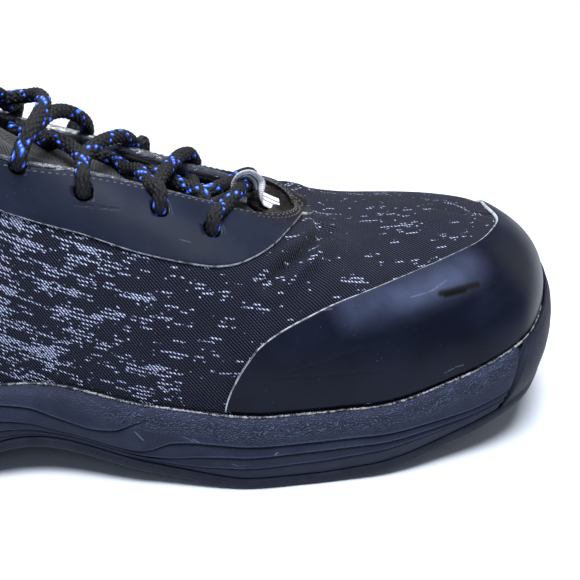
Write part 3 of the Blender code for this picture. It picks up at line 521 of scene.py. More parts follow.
def grid_piece(name, grid, maps, materials, closed=False, keep=None, slots=None):
    """A mesh from rows of points. Each map is (rows, columns, 2), with one column more where closed."""
    rows, columns = grid.shape[:2]
    r = np.arange(rows - 1)[:, None]
    c = np.arange(columns if closed else columns - 1)[None, :]
    following = (c + 1) % columns
    quads = np.stack([r * columns + c, r * columns + following,
                      (r + 1) * columns + following, (r + 1) * columns + c], -1).reshape(-1, 4)
    corners = [(r, c), (r, c + 1), (r + 1, c + 1), (r + 1, c)]
    picked = np.ones(len(quads), bool) if keep is None else keep.reshape(-1)
    data = bpy.data.meshes.new(name)
    data.from_pydata(grid.reshape(-1, 3).tolist(), [], quads[picked].tolist())
    for map_name, values in maps.items():
        if closed and values.shape[1] == columns:
            values = np.concatenate([values, values[:, :1]], 1)
        flat = np.stack([values[a, b] for a, b in (np.broadcast_arrays(*pair) for pair in corners)], -2)
        layer = data.uv_layers.new(name=map_name)
        layer.data.foreach_set("uv", flat.reshape(-1, 4, 2)[picked].astype(np.float32).ravel())
    if slots is not None:
        data.polygons.foreach_set("material_index", slots.reshape(-1)[picked].astype(np.int32))
    mesh = bmesh.new()
    mesh.from_mesh(data)
    bmesh.ops.remove_doubles(mesh, verts=mesh.verts, dist=1e-6)
    bmesh.ops.dissolve_degenerate(mesh, edges=mesh.edges, dist=1e-7)
    bmesh.ops.recalc_face_normals(mesh, faces=mesh.faces)
    mesh.to_mesh(data)
    mesh.free()
    return placed(name, data, materials)


def placed(name, data, materials):
    """An object in the scene for a smooth mesh and its materials."""
    for material in materials:
        data.materials.append(material)
    data.shade_smooth()
    part = bpy.data.objects.new(name, data)
    bpy.context.scene.collection.objects.link(part)
    return part


def sheet_piece(name, outer, inner, place, look, edges=None, open_row=True):
    """A thin closed piece from rows of points on its outer and inner faces, with its fabric coordinates.

    The last rows of both faces meet at the ridge, where the strip between them is left out at open_row.
    """
    grid = np.array(outer + inner[::-1] + outer[:1])
    maps = {"cloth": np.array(place + place[::-1] + place[:1])}
    if edges is not None:
        maps["edge"] = np.array(edges + edges[::-1] + edges[:1])
    keep = np.ones((len(grid) - 1, grid.shape[1] - 1), bool)
    keep[len(outer) - 1] = ~np.asarray(open_row)
    return grid_piece(name, grid, maps, [look], keep=keep)


def tube(path, radius, turns):
    """Rows of points round a path."""
    across, above = frames(path)
    angle = 2 * math.pi * turns[:, None, None]
    return path + radius * (np.cos(angle) * across + np.sin(angle) * above)


def dress(part, slot, *nodes):
    """Say what a piece rides on and hide the solids it stands for; the slot argument is not used."""
    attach(part, "root")
    if nodes:
        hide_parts(*nodes)
    return part


def smooth_path(points, spacing):
    """A smooth curve through chosen points, with points at an even spacing."""
    points = np.asarray(points, float)
    padded = np.concatenate([[2 * points[0] - points[1]], points, [2 * points[-1] - points[-2]]])
    fine = []
    for k in range(len(points) - 1):
        before, start, end, after = padded[k:k + 4]
        pairs = ((before, start), (start, end), (end, after))
        gaps = [max(np.linalg.norm(b - a), 1e-9) ** 0.5 for a, b in pairs]
        t0, t1, t2, t3 = np.cumsum([0, *gaps])
        t = np.linspace(t1, t2, 24, endpoint=False)[:, None]
        a1 = (t1 - t) / (t1 - t0) * before + (t - t0) / (t1 - t0) * start
        a2 = (t2 - t) / (t2 - t1) * start + (t - t1) / (t2 - t1) * end
        a3 = (t3 - t) / (t3 - t2) * end + (t - t2) / (t3 - t2) * after
        b1 = (t2 - t) / (t2 - t0) * a1 + (t - t0) / (t2 - t0) * a2
        b2 = (t3 - t) / (t3 - t1) * a2 + (t - t1) / (t3 - t1) * a3
        fine.append((t2 - t) / (t2 - t1) * b1 + (t - t1) / (t2 - t1) * b2)
    fine = np.concatenate(fine + [points[-1:]])
    walked = np.concatenate([[0.0], np.cumsum(np.linalg.norm(np.diff(fine, axis=0), axis=1))])
    at = np.linspace(0, walked[-1], max(int(round(walked[-1] / spacing)), 2) + 1)
    return np.stack([np.interp(at, walked, fine[:, n]) for n in range(3)], -1), at


def frames(path):
    """Directions across a path that turn as little as they can."""
    ways = np.gradient(path, axis=0)
    ways /= np.linalg.norm(ways, axis=1, keepdims=True)
    first = np.cross(ways[0], [0.31, 0.17, 0.93])
    across = [first / np.linalg.norm(first)]
    for way in ways[1:]:
        turned = across[-1] - way * across[-1].dot(way)
        across.append(turned / np.linalg.norm(turned))
    across = np.array(across)
    return across, np.cross(ways, across)


# Materials: a small language for their nodes

class Value:
    """A number in a material that can be added, multiplied and compared."""

    def __init__(self, look, socket):
        self.look, self.socket = look, socket

    def __add__(self, other):
        return self.look.math("ADD", self, other)

    def __sub__(self, other):
        return self.look.math("SUBTRACT", self, other)

    def __rsub__(self, other):
        return self.look.math("SUBTRACT", other, self)

    def __mul__(self, other):
        return self.look.math("MULTIPLY", self, other)

    __radd__, __rmul__ = __add__, __mul__


class Look:
    """One Principled material and the nodes that feed it."""

    def __init__(self, name):
        self.material = bpy.data.materials.new(name)
        self.material.use_nodes = True
        self.tree = self.material.node_tree
        self.shader = self.tree.nodes["Principled BSDF"]

    def feed(self, socket, value):
        if isinstance(value, Value):
            self.tree.links.new(value.socket, socket)
        elif isinstance(value, bpy.types.NodeSocket):
            self.tree.links.new(value, socket)
        else:
            socket.default_value = value

    def math(self, operation, *values):
        node = self.tree.nodes.new("ShaderNodeMath")
        node.operation = operation
        for socket, value in zip(node.inputs, values):
            self.feed(socket, value)
        return Value(self, node.outputs[0])

    def rise(self, value, low, high):
        """A soft rise from 0 at low to 1 at high."""
        node = self.tree.nodes.new("ShaderNodeMapRange")
        node.interpolation_type = "SMOOTHSTEP"
        for name, fed in (("Value", value), ("From Min", low), ("From Max", high)):
            self.feed(node.inputs[name], fed)
        return Value(self, node.outputs[0])

    def clamp(self, value):
        node = self.tree.nodes.new("ShaderNodeClamp")
        self.feed(node.inputs[0], value)
        return Value(self, node.outputs[0])

    def wave(self, phase):
        """A sine between 0 and 1 with a period of 1."""
        return self.math("SINE", phase * (2 * math.pi)) * 0.5 + 0.5

    def coordinates(self, map_name):
        """Both coordinates of a map, in millimetres."""
        node = self.tree.nodes.new("ShaderNodeUVMap")
        node.uv_map = map_name
        parts = self.tree.nodes.new("ShaderNodeSeparateXYZ")
        self.tree.links.new(node.outputs[0], parts.inputs[0])
        return Value(self, parts.outputs[0]) * 1000.0, Value(self, parts.outputs[1]) * 1000.0

    def vector(self, x, y, z=0.0):
        node = self.tree.nodes.new("ShaderNodeCombineXYZ")
        for socket, value in zip(node.inputs, (x, y, z)):
            self.feed(socket, value)
        return node.outputs[0]

    def place(self):
        """The point's place in the shoe's own frame."""
        node = self.tree.nodes.new("ShaderNodeTexCoord")
        return node.outputs["Object"]

    def noise(self, vector, scale=1.0, detail=2.0, rough=0.5, bend=0.0):
        node = self.tree.nodes.new("ShaderNodeTexNoise")
        self.feed(node.inputs["Vector"], vector)
        for name, value in (("Scale", scale), ("Detail", detail), ("Roughness", rough), ("Distortion", bend)):
            node.inputs[name].default_value = value
        return Value(self, node.outputs[0])

    def colour(self, share, first, second):
        node = self.tree.nodes.new("ShaderNodeMix")
        node.data_type = "RGBA"
        self.feed(node.inputs[0], share)
        for socket, value in ((node.inputs[6], first), (node.inputs[7], second)):
            self.feed(socket, (*value, 1.0) if isinstance(value, tuple) else value)
        return node.outputs[2]

    def stroke(self, x, y, start, end, width, soft):
        """A scratch or smear between two points, in millimetres of a map: 1 on it and 0 off it."""
        run = (end[0] - start[0], end[1] - start[1])
        long = math.hypot(*run)
        way = (run[0] / long, run[1] / long)
        over = (x - start[0]) * way[0] + (y - start[1]) * way[1]
        beside = self.math("ABSOLUTE", (x - start[0]) * -way[1] + (y - start[1]) * way[0])
        past = self.math("ABSOLUTE", over - long / 2) - long / 2
        past = self.math("MAXIMUM", past, 0.0)
        far = self.math("SQRT", beside * beside + past * past)
        return 1.0 - self.rise(far, width, width + soft)

    def finish(self, colour, roughness, height=None, depth=0.0002, **constants):
        self.feed(self.shader.inputs["Base Color"], (*colour, 1.0) if isinstance(colour, tuple) else colour)
        self.feed(self.shader.inputs["Roughness"], roughness)
        for name, value in constants.items():
            self.shader.inputs[name.replace("_", " ")].default_value = value
        if height is not None:
            bump = self.tree.nodes.new("ShaderNodeBump")
            bump.inputs["Distance"].default_value = depth
            self.feed(bump.inputs["Height"], height)
            self.tree.links.new(bump.outputs[0], self.shader.inputs["Normal"])
        return self.material


def on_cloth(side, along, up):
    """Fabric coordinates in millimetres of a point of the form."""
    return tuple(float(value) * 1000 for value in cloth(np.array(along), side, np.array(up)))


# The knit in millimetres: ribs, the stitches along them, rows of light yarn and the length of its dashes
RIB_PITCH = 0.85
STITCH_LENGTH = 0.95
RIB_LEAN = math.radians(47)
FLECK_ROW = 0.66
FLECK_RUN = 3.4


def knit_look():
    """Twill knit with raised ribs and light reflective yarn that shows in dashes and patches."""
    look = Look("knit")
    u, v = look.coordinates("cloth")
    drift = look.noise(look.vector(u, v), 0.05, 2.0) - 0.5
    phase = (v * math.cos(RIB_LEAN) + u * math.sin(RIB_LEAN)) * (1 / RIB_PITCH) + drift * 1.6
    ribs = look.wave(phase)
    stagger = look.math("FLOOR", phase) * 0.5
    crossing = (u * math.cos(RIB_LEAN) - v * math.sin(RIB_LEAN)) * (1 / STITCH_LENGTH) + stagger
    cells = look.wave(crossing)
    fuzz = look.noise(look.vector(u, v), 4.0, 3.0, 0.6)

    sway = look.noise(look.vector(u * 0.35, v * 0.35), 1.0, 2.0) - 0.5
    lines = v * (1 / FLECK_ROW) + sway * 0.9
    row = look.math("FLOOR", lines)
    in_row = look.math("FRACT", lines)
    between = look.math("FLOORED_MODULO", row, 2.0)
    run = look.noise(look.vector(u * (1 / FLECK_RUN), row * 7.31), 1.0, 2.0, 0.55)
    patches = look.noise(look.vector(u * 0.060, v * 0.26), 1.0, 2.0, 0.55)
    towards_toe = look.rise(u, -50.0, 50.0)
    dense = look.clamp((patches - 0.5) * 3.2 + 0.82 - towards_toe * 0.64)
    limit = 0.70 - dense * 0.31 + between * (0.24 - dense * 0.13)
    lit = look.rise(run, limit, limit + 0.03)
    within = look.rise(in_row, 0.02, 0.20) * (1.0 - look.rise(in_row, 0.80, 0.98))
    lit = lit * within * look.rise(ribs * 0.85 + cells * 0.15, 0.30, 0.55)

    shade = look.noise(look.vector(u, v), 0.12, 3.0)
    # The ground is painted darker in the grooves between ribs and stitches and lighter on their tops: painted
    # shade and highlight.
    ground = look.colour(look.rise(ribs * 0.75 + cells * 0.25 + (fuzz - 0.5) * 0.4, 0.28, 0.95),
                         (0.0008, 0.0009, 0.0018), (0.030, 0.034, 0.062))
    ground = look.colour(look.rise(shade, 0.35, 0.75) * 0.45, ground, (0.008, 0.008, 0.013))
    # The pale yarn is painted lighter on its raised stitches: a painted highlight, with random tone from the
    # fuzz.
    yarn = look.colour(look.clamp(cells * 0.6 + fuzz * 0.4), (0.23, 0.27, 0.42), (0.62, 0.68, 0.94))
    tint = look.colour(lit, ground, yarn)
    rough = 0.86 - lit * 0.36
    height = ribs * 0.8 + cells * 0.30 + (fuzz - 0.5) * 0.5 + lit * 0.3
    return look.finish(tint, rough, height, 0.00034, Specular_IOR_Level=0.08, Sheen_Weight=0.03,
                       Sheen_Roughness=0.45)


def lining_look():
    """Dark mesh lining."""
    look = Look("lining")
    u, v = look.coordinates("cloth")
    mesh = look.wave(u * 0.9) * look.wave(v * 0.9)
    fuzz = look.noise(look.vector(u, v), 1.5, 3.0)
    tint = look.colour(mesh * 0.6 + fuzz * 0.4, (0.012, 0.012, 0.016), (0.045, 0.046, 0.055))
    return look.finish(tint, 0.92, mesh + fuzz * 0.3, 0.00025, Sheen_Weight=0.15, Specular_IOR_Level=0.25)


def film_look(name, base, lift, rough, gloss, marks, tip=None):
    """Smooth satin film with a pale cut edge, hazy patches, painted highlights and its own scuffs."""
    look = Look(name)
    u, v = look.coordinates("cloth")
    edge, _ = look.coordinates("edge")
    haze_and_highlight = look.noise(look.vector(u, v), 0.045, 4.0, 0.6, 0.4)
    grain = look.noise(look.vector(u, v), 2.2, 3.0, 0.6)
    specks = look.noise(look.vector(u, v), 1.4, 1.0)
    # The film's tone varies at random in faint lighter patches.
    tint = look.colour(look.rise(haze_and_highlight, 0.35, 0.70), base, lift)
    rough_now = (haze_and_highlight - 0.5) * 0.22 + (grain - 0.5) * 0.10 + rough
    height = grain * 0.5 + haze_and_highlight * 1.5
    for kind, side, start, end, width, soft in marks:
        line = look.stroke(u, v, on_cloth(side, *start), on_cloth(side, *end), width, soft)
        if kind == "haze_and_highlight":
            line = line * (look.noise(look.vector(u, v), 0.20, 2.0) * 0.6 + 0.5)
        elif kind != "dark":
            line = line * look.rise(look.noise(look.vector(u, v), 0.9, 2.0), 0.28, 0.60)
        if kind == "dark":
            tint = look.colour(line * 0.9, tint, (0.0012, 0.0012, 0.0015))
            rough_now = rough_now + line * 0.30
        elif kind == "light":
            tint = look.colour(line * 0.40, tint, (0.11, 0.13, 0.19))
            rough_now = rough_now + line * 0.12
        elif kind == "haze_and_highlight":
            # A pale bluish band painted along the film: a painted highlight, over a slightly rougher surface.
            tint = look.colour(line * 0.45, tint, (0.060, 0.075, 0.140))
            rough_now = rough_now + line * 0.10
        if kind != "haze_and_highlight":
            height = height - line * 0.8
    tint = look.colour(look.rise(specks, 0.76, 0.79) * 0.4, tint, (0.10, 0.11, 0.14))
    if tip is not None:
        wrinkle = look.noise(look.vector(u * 0.5, v * 1.6), 0.9, 3.0, 0.6, 1.2)
        at_tip = look.rise(u, tip, tip + 12.0) * (1.0 - look.rise(look.math("ABSOLUTE", v), 12.0, 24.0))
        # The film's front end is tinted warm brown: a painted warm reflection.
        tint = look.colour(at_tip, tint, (0.0085, 0.0065, 0.0055))
        height = height + wrinkle * at_tip * 7.0
        rough_now = rough_now - at_tip * 0.16
    broken = look.rise(look.noise(look.vector(u, v), 0.5, 3.0), 0.28, 0.60)
    cut = (1.0 - look.rise(edge, 0.16, 0.42)) * (broken * 0.85 + 0.15)
    tint = look.colour(cut, tint, (0.42, 0.44, 0.48))
    return look.finish(tint, rough_now + cut * 0.2, height, 0.00006, Specular_IOR_Level=gloss)


# Scuffs on the sole's side, each from and to a place along the shoe and a share of the side's height
SOLE_SCUFFS = (
    ((0.505, 0.60), (0.513, 0.47)), ((0.551, 0.655), (0.561, 0.60)), ((0.560, 0.64), (0.566, 0.60)),
    ((0.598, 0.285), (0.604, 0.25)), ((0.607, 0.27), (0.611, 0.275)), ((0.64, 0.46), (0.643, 0.50)),
)


def rubber_look(name, base, lift, rough, grained):
    """Moulded rubber; where grained, its top band carries a fine leather-like wave with painted highlights.
    """
    look = Look(name)
    u, v = look.coordinates("side")
    share_x, share_y = look.coordinates("band")
    groove, lip = look.coordinates("step_shading")
    mottle = look.noise(look.vector(u, v), 0.10, 4.0, 0.6)
    grit = look.noise(look.vector(u, v), 3.2, 3.0, 0.65)
    tint = look.colour(look.rise(mottle, 0.3, 0.75), base, lift)
    height = grit * 0.6 + mottle * 0.5
    rough_now = (mottle - 0.5) * 0.25 + rough
    if grained:
        sway = look.noise(look.vector(u, v), 0.35, 3.0, 0.6) - 0.5
        wrinkle = look.wave((v * 1.15 - u * 0.30) * 1.05 + sway * 6.0)
        fine = look.noise(look.vector(u, v), 2.6, 3.0, 0.7)
        top = look.rise(share_x, 560.0, 800.0)
        ahead = look.rise(share_y, 440.0, 520.0)
        zone = top * (ahead * 0.85 + 0.15)
        height = height + (wrinkle * 1.1 + fine * 1.2) * zone
        # The ridges of the wave are painted lighter: painted highlights on the grain.
        grain_highlight = look.rise(wrinkle * 0.60 + fine * 0.60, 0.70, 0.94) * zone
        tint = look.colour(grain_highlight * 0.45, tint, (0.12, 0.145, 0.24))
        # The rim's rounded shoulder is painted lighter: a painted highlight where it faces up.
        shoulder = look.rise(share_x, 860.0, 960.0) * ahead
        tint = look.colour(shoulder * fine * 0.28, tint, (0.09, 0.11, 0.18))
    # The side's grooves are painted dark: painted shade under each step.
    tint = look.colour(look.rise(groove, 0.25, 1.0) * 0.88, tint, (0.0030, 0.0034, 0.0060))
    # The lip at each step is painted lighter, broken by the grit: a painted highlight.
    lip_highlight = look.rise(lip, 0.2, 1.0) * look.rise(grit, 0.35, 0.65)
    tint = look.colour(lip_highlight * 0.35, tint, (0.11, 0.13, 0.21))
    for start, end in SOLE_SCUFFS:
        mark = look.stroke(share_y, share_x, np.multiply(start, 1000), np.multiply(end, 1000), 0.25, 1.2)
        tint = look.colour(mark * 0.30, tint, (0.30, 0.33, 0.42))
    scratches = look.rise(look.noise(look.vector(u * 0.5, v * 2.2), 1.2, 1.0), 0.80, 0.84)
    tint = look.colour(scratches * 0.35, tint, (0.16, 0.18, 0.24))
    return look.finish(tint, rough_now, height, 0.00034, Specular_IOR_Level=0.15)


def textile_look(name, base, lift, pitch):
    """Plain woven textile."""
    look = Look(name)
    u, v = look.coordinates("cloth")
    warp = look.wave(u * (1 / pitch))
    weft = look.wave(v * (1 / pitch))
    fuzz = look.noise(look.vector(u, v), 1.2, 3.0, 0.6)
    weave = look.clamp(warp * weft * 1.2 + (fuzz - 0.5) * 0.5)
    tint = look.colour(weave, base, lift)
    return look.finish(tint, 0.9, weave, 0.0002, Sheen_Weight=0.15, Specular_IOR_Level=0.3)


STRANDS = 8
BRAID_LAY = 2.5


def lace_look():
    """Round braided cord: black strands, with two blue ones that come up in pips."""
    look = Look("lace")
    turn, run = look.coordinates("braid")
    turn = turn * (STRANDS / 1000.0)
    first = turn + run * (1 / BRAID_LAY)
    second = turn - run * (1 / BRAID_LAY)
    first_number = look.math("FLOOR", first)
    second_number = look.math("FLOOR", second)
    odd = look.math("FLOORED_MODULO", first_number + second_number, 2.0)

    def is_strand(number, wanted):
        here = look.math("FLOORED_MODULO", number, float(STRANDS))
        return look.math("COMPARE", here, float(wanted), 0.4)

    blue = (1.0 - odd) * is_strand(first_number, 2) + odd * is_strand(second_number, 5)
    across = look.math("FRACT", first) * (1.0 - odd) + look.math("FRACT", second) * odd
    beside = look.math("FRACT", second) * (1.0 - odd) + look.math("FRACT", first) * odd
    crown = look.math("SINE", across * math.pi) * look.math("SINE", beside * math.pi)
    threads = look.wave(across * 4.0)
    fuzz = look.noise(look.vector(turn * 2.0, run), 2.4, 3.0)
    # Each strand is painted darker in the crevices between strands and lighter on its crown: painted shade
    # and highlight.
    black = look.colour(look.clamp(crown * 0.6 + threads * 0.35 + (fuzz - 0.5)), (0.0006, 0.0006, 0.0009),
                        (0.0115, 0.0115, 0.0140))
    # The blue pips are painted lighter on their crowns: a painted highlight.
    pale = look.rise(crown * 0.7 + threads * 0.3 + (fuzz - 0.5) * 0.4, 0.50, 0.95)
    pip = look.colour(pale, (0.016, 0.085, 0.72), (0.28, 0.48, 1.0))
    tint = look.colour(look.clamp(blue) * look.rise(crown, 0.0, 0.05), black, pip)
    height = crown * 0.8 + threads * 0.35 + fuzz * 0.2
    return look.finish(tint, 0.50, height, 0.00030, Specular_IOR_Level=0.22)


def webbing_look():
    """Pale woven tape with dark lengthwise lines."""
    look = Look("webbing")
    across, run = look.coordinates("tape")
    wobble = (look.noise(look.vector(across, run), 0.6, 2.0) - 0.5) * 0.5
    at = look.math("ABSOLUTE", across + wobble * 0.5)
    line = 1.0 - look.rise(look.math("ABSOLUTE", at - 1.1), 0.26, 0.46)
    rim = look.rise(at, 3.2, 3.6)
    weave = look.wave(run * 1.8) * look.wave(across * 1.7 + look.math("FLOOR", run * 1.8) * 0.5)
    pale = look.colour(weave, (0.74, 0.76, 0.84), (0.93, 0.94, 0.98))
    tint = look.colour(look.clamp(line * 0.9 + rim * 0.5), pale, (0.020, 0.020, 0.028))
    return look.finish(tint, 0.7, weave, 0.00018, Specular_IOR_Level=0.4, Sheen_Weight=0.1)


def thread_look(name, base, lift):
    """Twisted thread."""
    look = Look(name)
    twist = look.noise(look.place(), 2600.0, 2.0)
    return look.finish(look.colour(twist, base, lift), 0.55, twist, 0.00008, Specular_IOR_Level=0.5)


def flash_look():
    """Frayed pale edge of the sole's rim: chalky, broken by bare rubber."""
    look = Look("rim_flash")
    at = look.place()
    broken = look.noise(at, 420.0, 4.0, 0.7)
    fine = look.noise(at, 2300.0, 2.0)
    chalk = look.rise(broken * 0.75 + fine * 0.25, 0.42, 0.60)
    tint = look.colour(chalk, (0.012, 0.013, 0.020), (0.30, 0.30, 0.30))
    return look.finish(tint, 0.85, fine, 0.0002, Specular_IOR_Level=0.3)


# Pieces

def upper_columns():
    """Stations of the upper, closer together at the throat's front and the collar's corner."""
    tip = throat_tip()
    base = tip + 0.002 - 0.078 * np.linspace(1, 0, 34) ** 2
    corner = np.linspace(0.284, 0.318, 12)
    alongs = plan_stations(14, 96, 30)
    kept = [a for a in alongs if not (tip - 0.078 < a < tip + 0.004 or 0.282 < a < 0.320)]
    return np.array(sorted([*kept, *base, *corner]))


OUTER_ROWS = 84
INNER_ROWS = 26
CROWN_ROWS = 5


def collar_pad(alongs, share):
    """The padding behind the collar, over the wall's own thickness."""
    thick = ramp(share, 0.50, 0.80) * (1 - 0.4 * ramp(share, 0.85, 1.0))
    return COLLAR_PAD * thick * (1 - ramp(alongs, 0.22, 0.30))


def make_upper(knit, lining):
    """The hollow knitted shell with its creases, rounded collar edge and lining."""
    alongs, sides = ring(upper_columns())
    edge = by_side(opening_edge, alongs, sides)
    is_open = edge < 1
    foot = rim_height(alongs) - CUP_DEPTH + INSOLE_LIFT
    rows, marks, slots = [], [], []

    def add(points, up, slot):
        rows.append(points)
        marks.append(up)
        slots.append(slot)

    def margin(out):
        x, y = outline_xy(alongs, sides, out)
        return level(x, y, foot)

    add(margin(-UPPER_INSET - MARGIN_TUCK), 0 * edge, 0)
    for share in np.linspace(0, 1, OUTER_ROWS + 1):
        up = edge * share
        place = by_side(cloth, alongs, sides, up)
        push = crease_depth(place) * ramp(share, 0, 0.06)
        flat = 1 - ramp(up, 0.9, 1.0) * ~is_open
        add(by_side(skin, alongs, sides, up, -push * flat), up, 0)
    outer_edge = rows[-1]
    thickness = UPPER_WALL + collar_pad(alongs, 1.0)
    inner_edge = by_side(skin, alongs, sides, edge, -thickness)
    rise = outer_edge - by_side(skin, alongs, sides, edge * 0.97, 0.0)
    rise /= np.maximum(np.linalg.norm(rise, axis=1, keepdims=True), 1e-9)
    middle = (outer_edge + inner_edge) / 2
    for k in range(1, CROWN_ROWS + 1):
        angle = math.pi * k / (CROWN_ROWS + 1)
        swing = (outer_edge - middle) * math.cos(angle)
        lift = rise * (thickness * 0.35 * math.sin(angle))[:, None]
        add(middle + swing + lift * is_open[:, None], edge, 1)
    for share in np.linspace(1, 0, INNER_ROWS):
        wall = UPPER_WALL + collar_pad(alongs, share)
        add(by_side(skin, alongs, sides, edge * share, -wall), edge * share, 1)
    add(margin(-UPPER_INSET - MARGIN_TUCK - UPPER_WALL), 0 * edge, 1)
    rows.append(rows[0])
    marks.append(marks[0])
    grid = np.array(rows)
    ups = np.array(marks)
    place = np.array([by_side(cloth, alongs, sides, up) for up in ups])
    seam = np.array([cloth(np.full(1, alongs[0]), MEDIAL, up[:1]) for up in ups])
    place = np.concatenate([place, seam], 1)
    either = is_open | np.roll(is_open, -1)
    keep = np.ones((len(grid) - 1, len(alongs)), bool)
    crown_start = OUTER_ROWS + 1
    keep[crown_start:crown_start + CROWN_ROWS + 1] = either
    slot_grid = np.repeat(np.array(slots)[:, None], len(alongs), 1)
    slot_grid[crown_start:crown_start + 2] = 0
    part = grid_piece("knit_upper", grid, {"cloth": place}, [knit, lining], True, keep, slot_grid)
    return dress(part, "knit", "upper")


def punch(*parts):
    """Cut the eyelets through pieces, and leave the cut in their meshes."""
    mesh = bmesh.new()
    for eyelet in EYELETS:
        for side in (LATERAL, MEDIAL):
            inner, outer = skin(eyelet.along, side, eyelet.up, np.array([-2.2, 1.6]) * UPPER_WALL)
            way = Vector(outer - inner)
            turn = way.to_track_quat("Z", "Y").to_matrix().to_4x4()
            matrix = Matrix.Translation(Vector((inner + outer) / 2)) @ turn
            bmesh.ops.create_cone(mesh, segments=20, radius1=EYELET_RADIUS, radius2=EYELET_RADIUS,
                                  depth=way.length, matrix=matrix, cap_ends=True)
    data = bpy.data.meshes.new("punches")
    mesh.to_mesh(data)
    mesh.free()
    cutter = bpy.data.objects.new("punches", data)
    bpy.context.scene.collection.objects.link(cutter)
    for part in parts:
        modifier = part.modifiers.new("punch", "BOOLEAN")
        modifier.operation = "DIFFERENCE"
        modifier.object = cutter
        modifier.solver = "EXACT"
        graph = bpy.context.evaluated_depsgraph_get()
        cut = bpy.data.meshes.new_from_object(part.evaluated_get(graph))
        part.modifiers.clear()
        part.data = cut
    bpy.data.objects.remove(cutter, do_unlink=True)


FILM_BORDER = 0.0006
# The share of the knit's creases that shows through a film
FILM_CREASED = 0.45


def film_piece(name, alongs, sides, low, high, bend, rows, look):
    """A film on the upper's form between two edges, with rounded borders."""
    edge_rows = np.array([0.0, 0.003, 0.008, 0.015, 0.025])
    shares = np.concatenate([edge_rows, np.linspace(0.04, 0.96, rows), 1 - edge_rows[::-1]])
    outer, inner, place, edges = [], [], [], []
    total = np.abs(by_side(girth, low[0], sides, low[1]) - by_side(girth, high[0], sides, high[1]))
    first_end, last_end = np.abs(alongs - alongs[0]) * LENGTH, np.abs(alongs - alongs[-1]) * LENGTH
    ends = np.where(sides == LATERAL, first_end, last_end)
    for share in shares:
        along = high[0] + (low[0] - high[0]) * (1 - share) ** bend
        up = low[1] + (high[1] - low[1]) * share
        near = np.minimum(share, 1 - share) * total
        rounded = np.sqrt(1 - (1 - np.clip(near / FILM_BORDER, 0, 1)) ** 2)
        spot = by_side(cloth, along, sides, up)
        pushed = FILM_CREASED * crease_depth(spot)
        outer.append(by_side(skin, along, sides, up, LAYER_GAP + FILM * rounded - pushed))
        inner.append(by_side(skin, along, sides, up, LAYER_GAP * 0.3 - pushed))
        place.append(spot)
        edges.append(np.stack([np.minimum(share * total, ends), (1 - share) * total], -1))
    meets = high[1] >= 1 - 1e-9
    return sheet_piece(name, outer, inner, place, look, edges, (meets & np.roll(meets, -1))[:-1])


# The bend of the toe film's rear edge, and how much lower its inner side stands
GUARD_BEND = 1.5
GUARD_DROP = 0.38
GUARD_ROWS = 76


def make_guard(look):
    """The film over the toe, lower on its inner side than on its outer one."""
    start = GUARD_EDGE[0].along
    stations = plan_stations(14, 150, 44)
    high, sides = ring_open(np.append(GUARD_CORNER, stations[stations > GUARD_CORNER + 0.004]))
    low = high - (GUARD_CORNER - start) * (1 - ramp(high, GUARD_CORNER, TOE_START))
    top = through(GUARD_EDGE, "up", high)
    top = top * np.where(sides == MEDIAL, 1 - GUARD_DROP * (1 - ramp(high, 0.955, 1.0)), 1.0)
    foot = np.full_like(low, GUARD_HEM)
    part = film_piece("toe_film", high, sides, (high, top), (low, foot), GUARD_BEND, GUARD_ROWS, look)
    return dress(part, "toe_film", "toe_guard")


# The rounded front end of the throat's film: where it ends, its length, and its depth in up
STAY_TIP = 0.780
STAY_ROUND = 0.030
STAY_ROUND_DEPTH = 0.095
STAY_ROWS = 60


def make_stay(look):
    """The film round the throat; its front end is rounded across the ridge."""
    start = STAY_EDGE[0].along
    stations = upper_columns()
    close = STAY_TIP - STAY_ROUND * np.linspace(1, 0, 26) ** 2
    stations = stations[(stations > start + 0.004) & (stations < STAY_TIP - STAY_ROUND - 0.002)]
    alongs, sides = ring_open(np.concatenate([[start], stations, close]))
    edge = by_side(opening_edge, alongs, sides)
    top = edge - STAY_HEM * 0.6 * np.clip((1 - edge) / 0.05, 0, 1)
    low = np.minimum(through(STAY_EDGE, "up", alongs), edge - 2 * STAY_HEM * (edge < 1))
    ahead = np.clip(1 - (STAY_TIP - alongs) / STAY_ROUND, 0, 1)
    low = np.minimum(low, 1 - STAY_ROUND_DEPTH * np.sqrt(1 - ahead**2))
    part = film_piece("throat_film", alongs, sides, (alongs, low), (alongs, top), 1.0, STAY_ROWS, look)
    return dress(part, "stay_film", "eyestay")


# How deep the tongue sags between the lace's crossings, along the shoe
SAG_PLACES = (0.30, 0.35, 0.42, 0.47, 0.55, 0.62, 0.70, 0.80)
SAG_DEPTHS = (0.0040, 0.0085, 0.0095, 0.0065, 0.0040, 0.0025, 0.0005, 0.0)
TONGUE_COLUMNS = 110
TONGUE_ROWS = 28


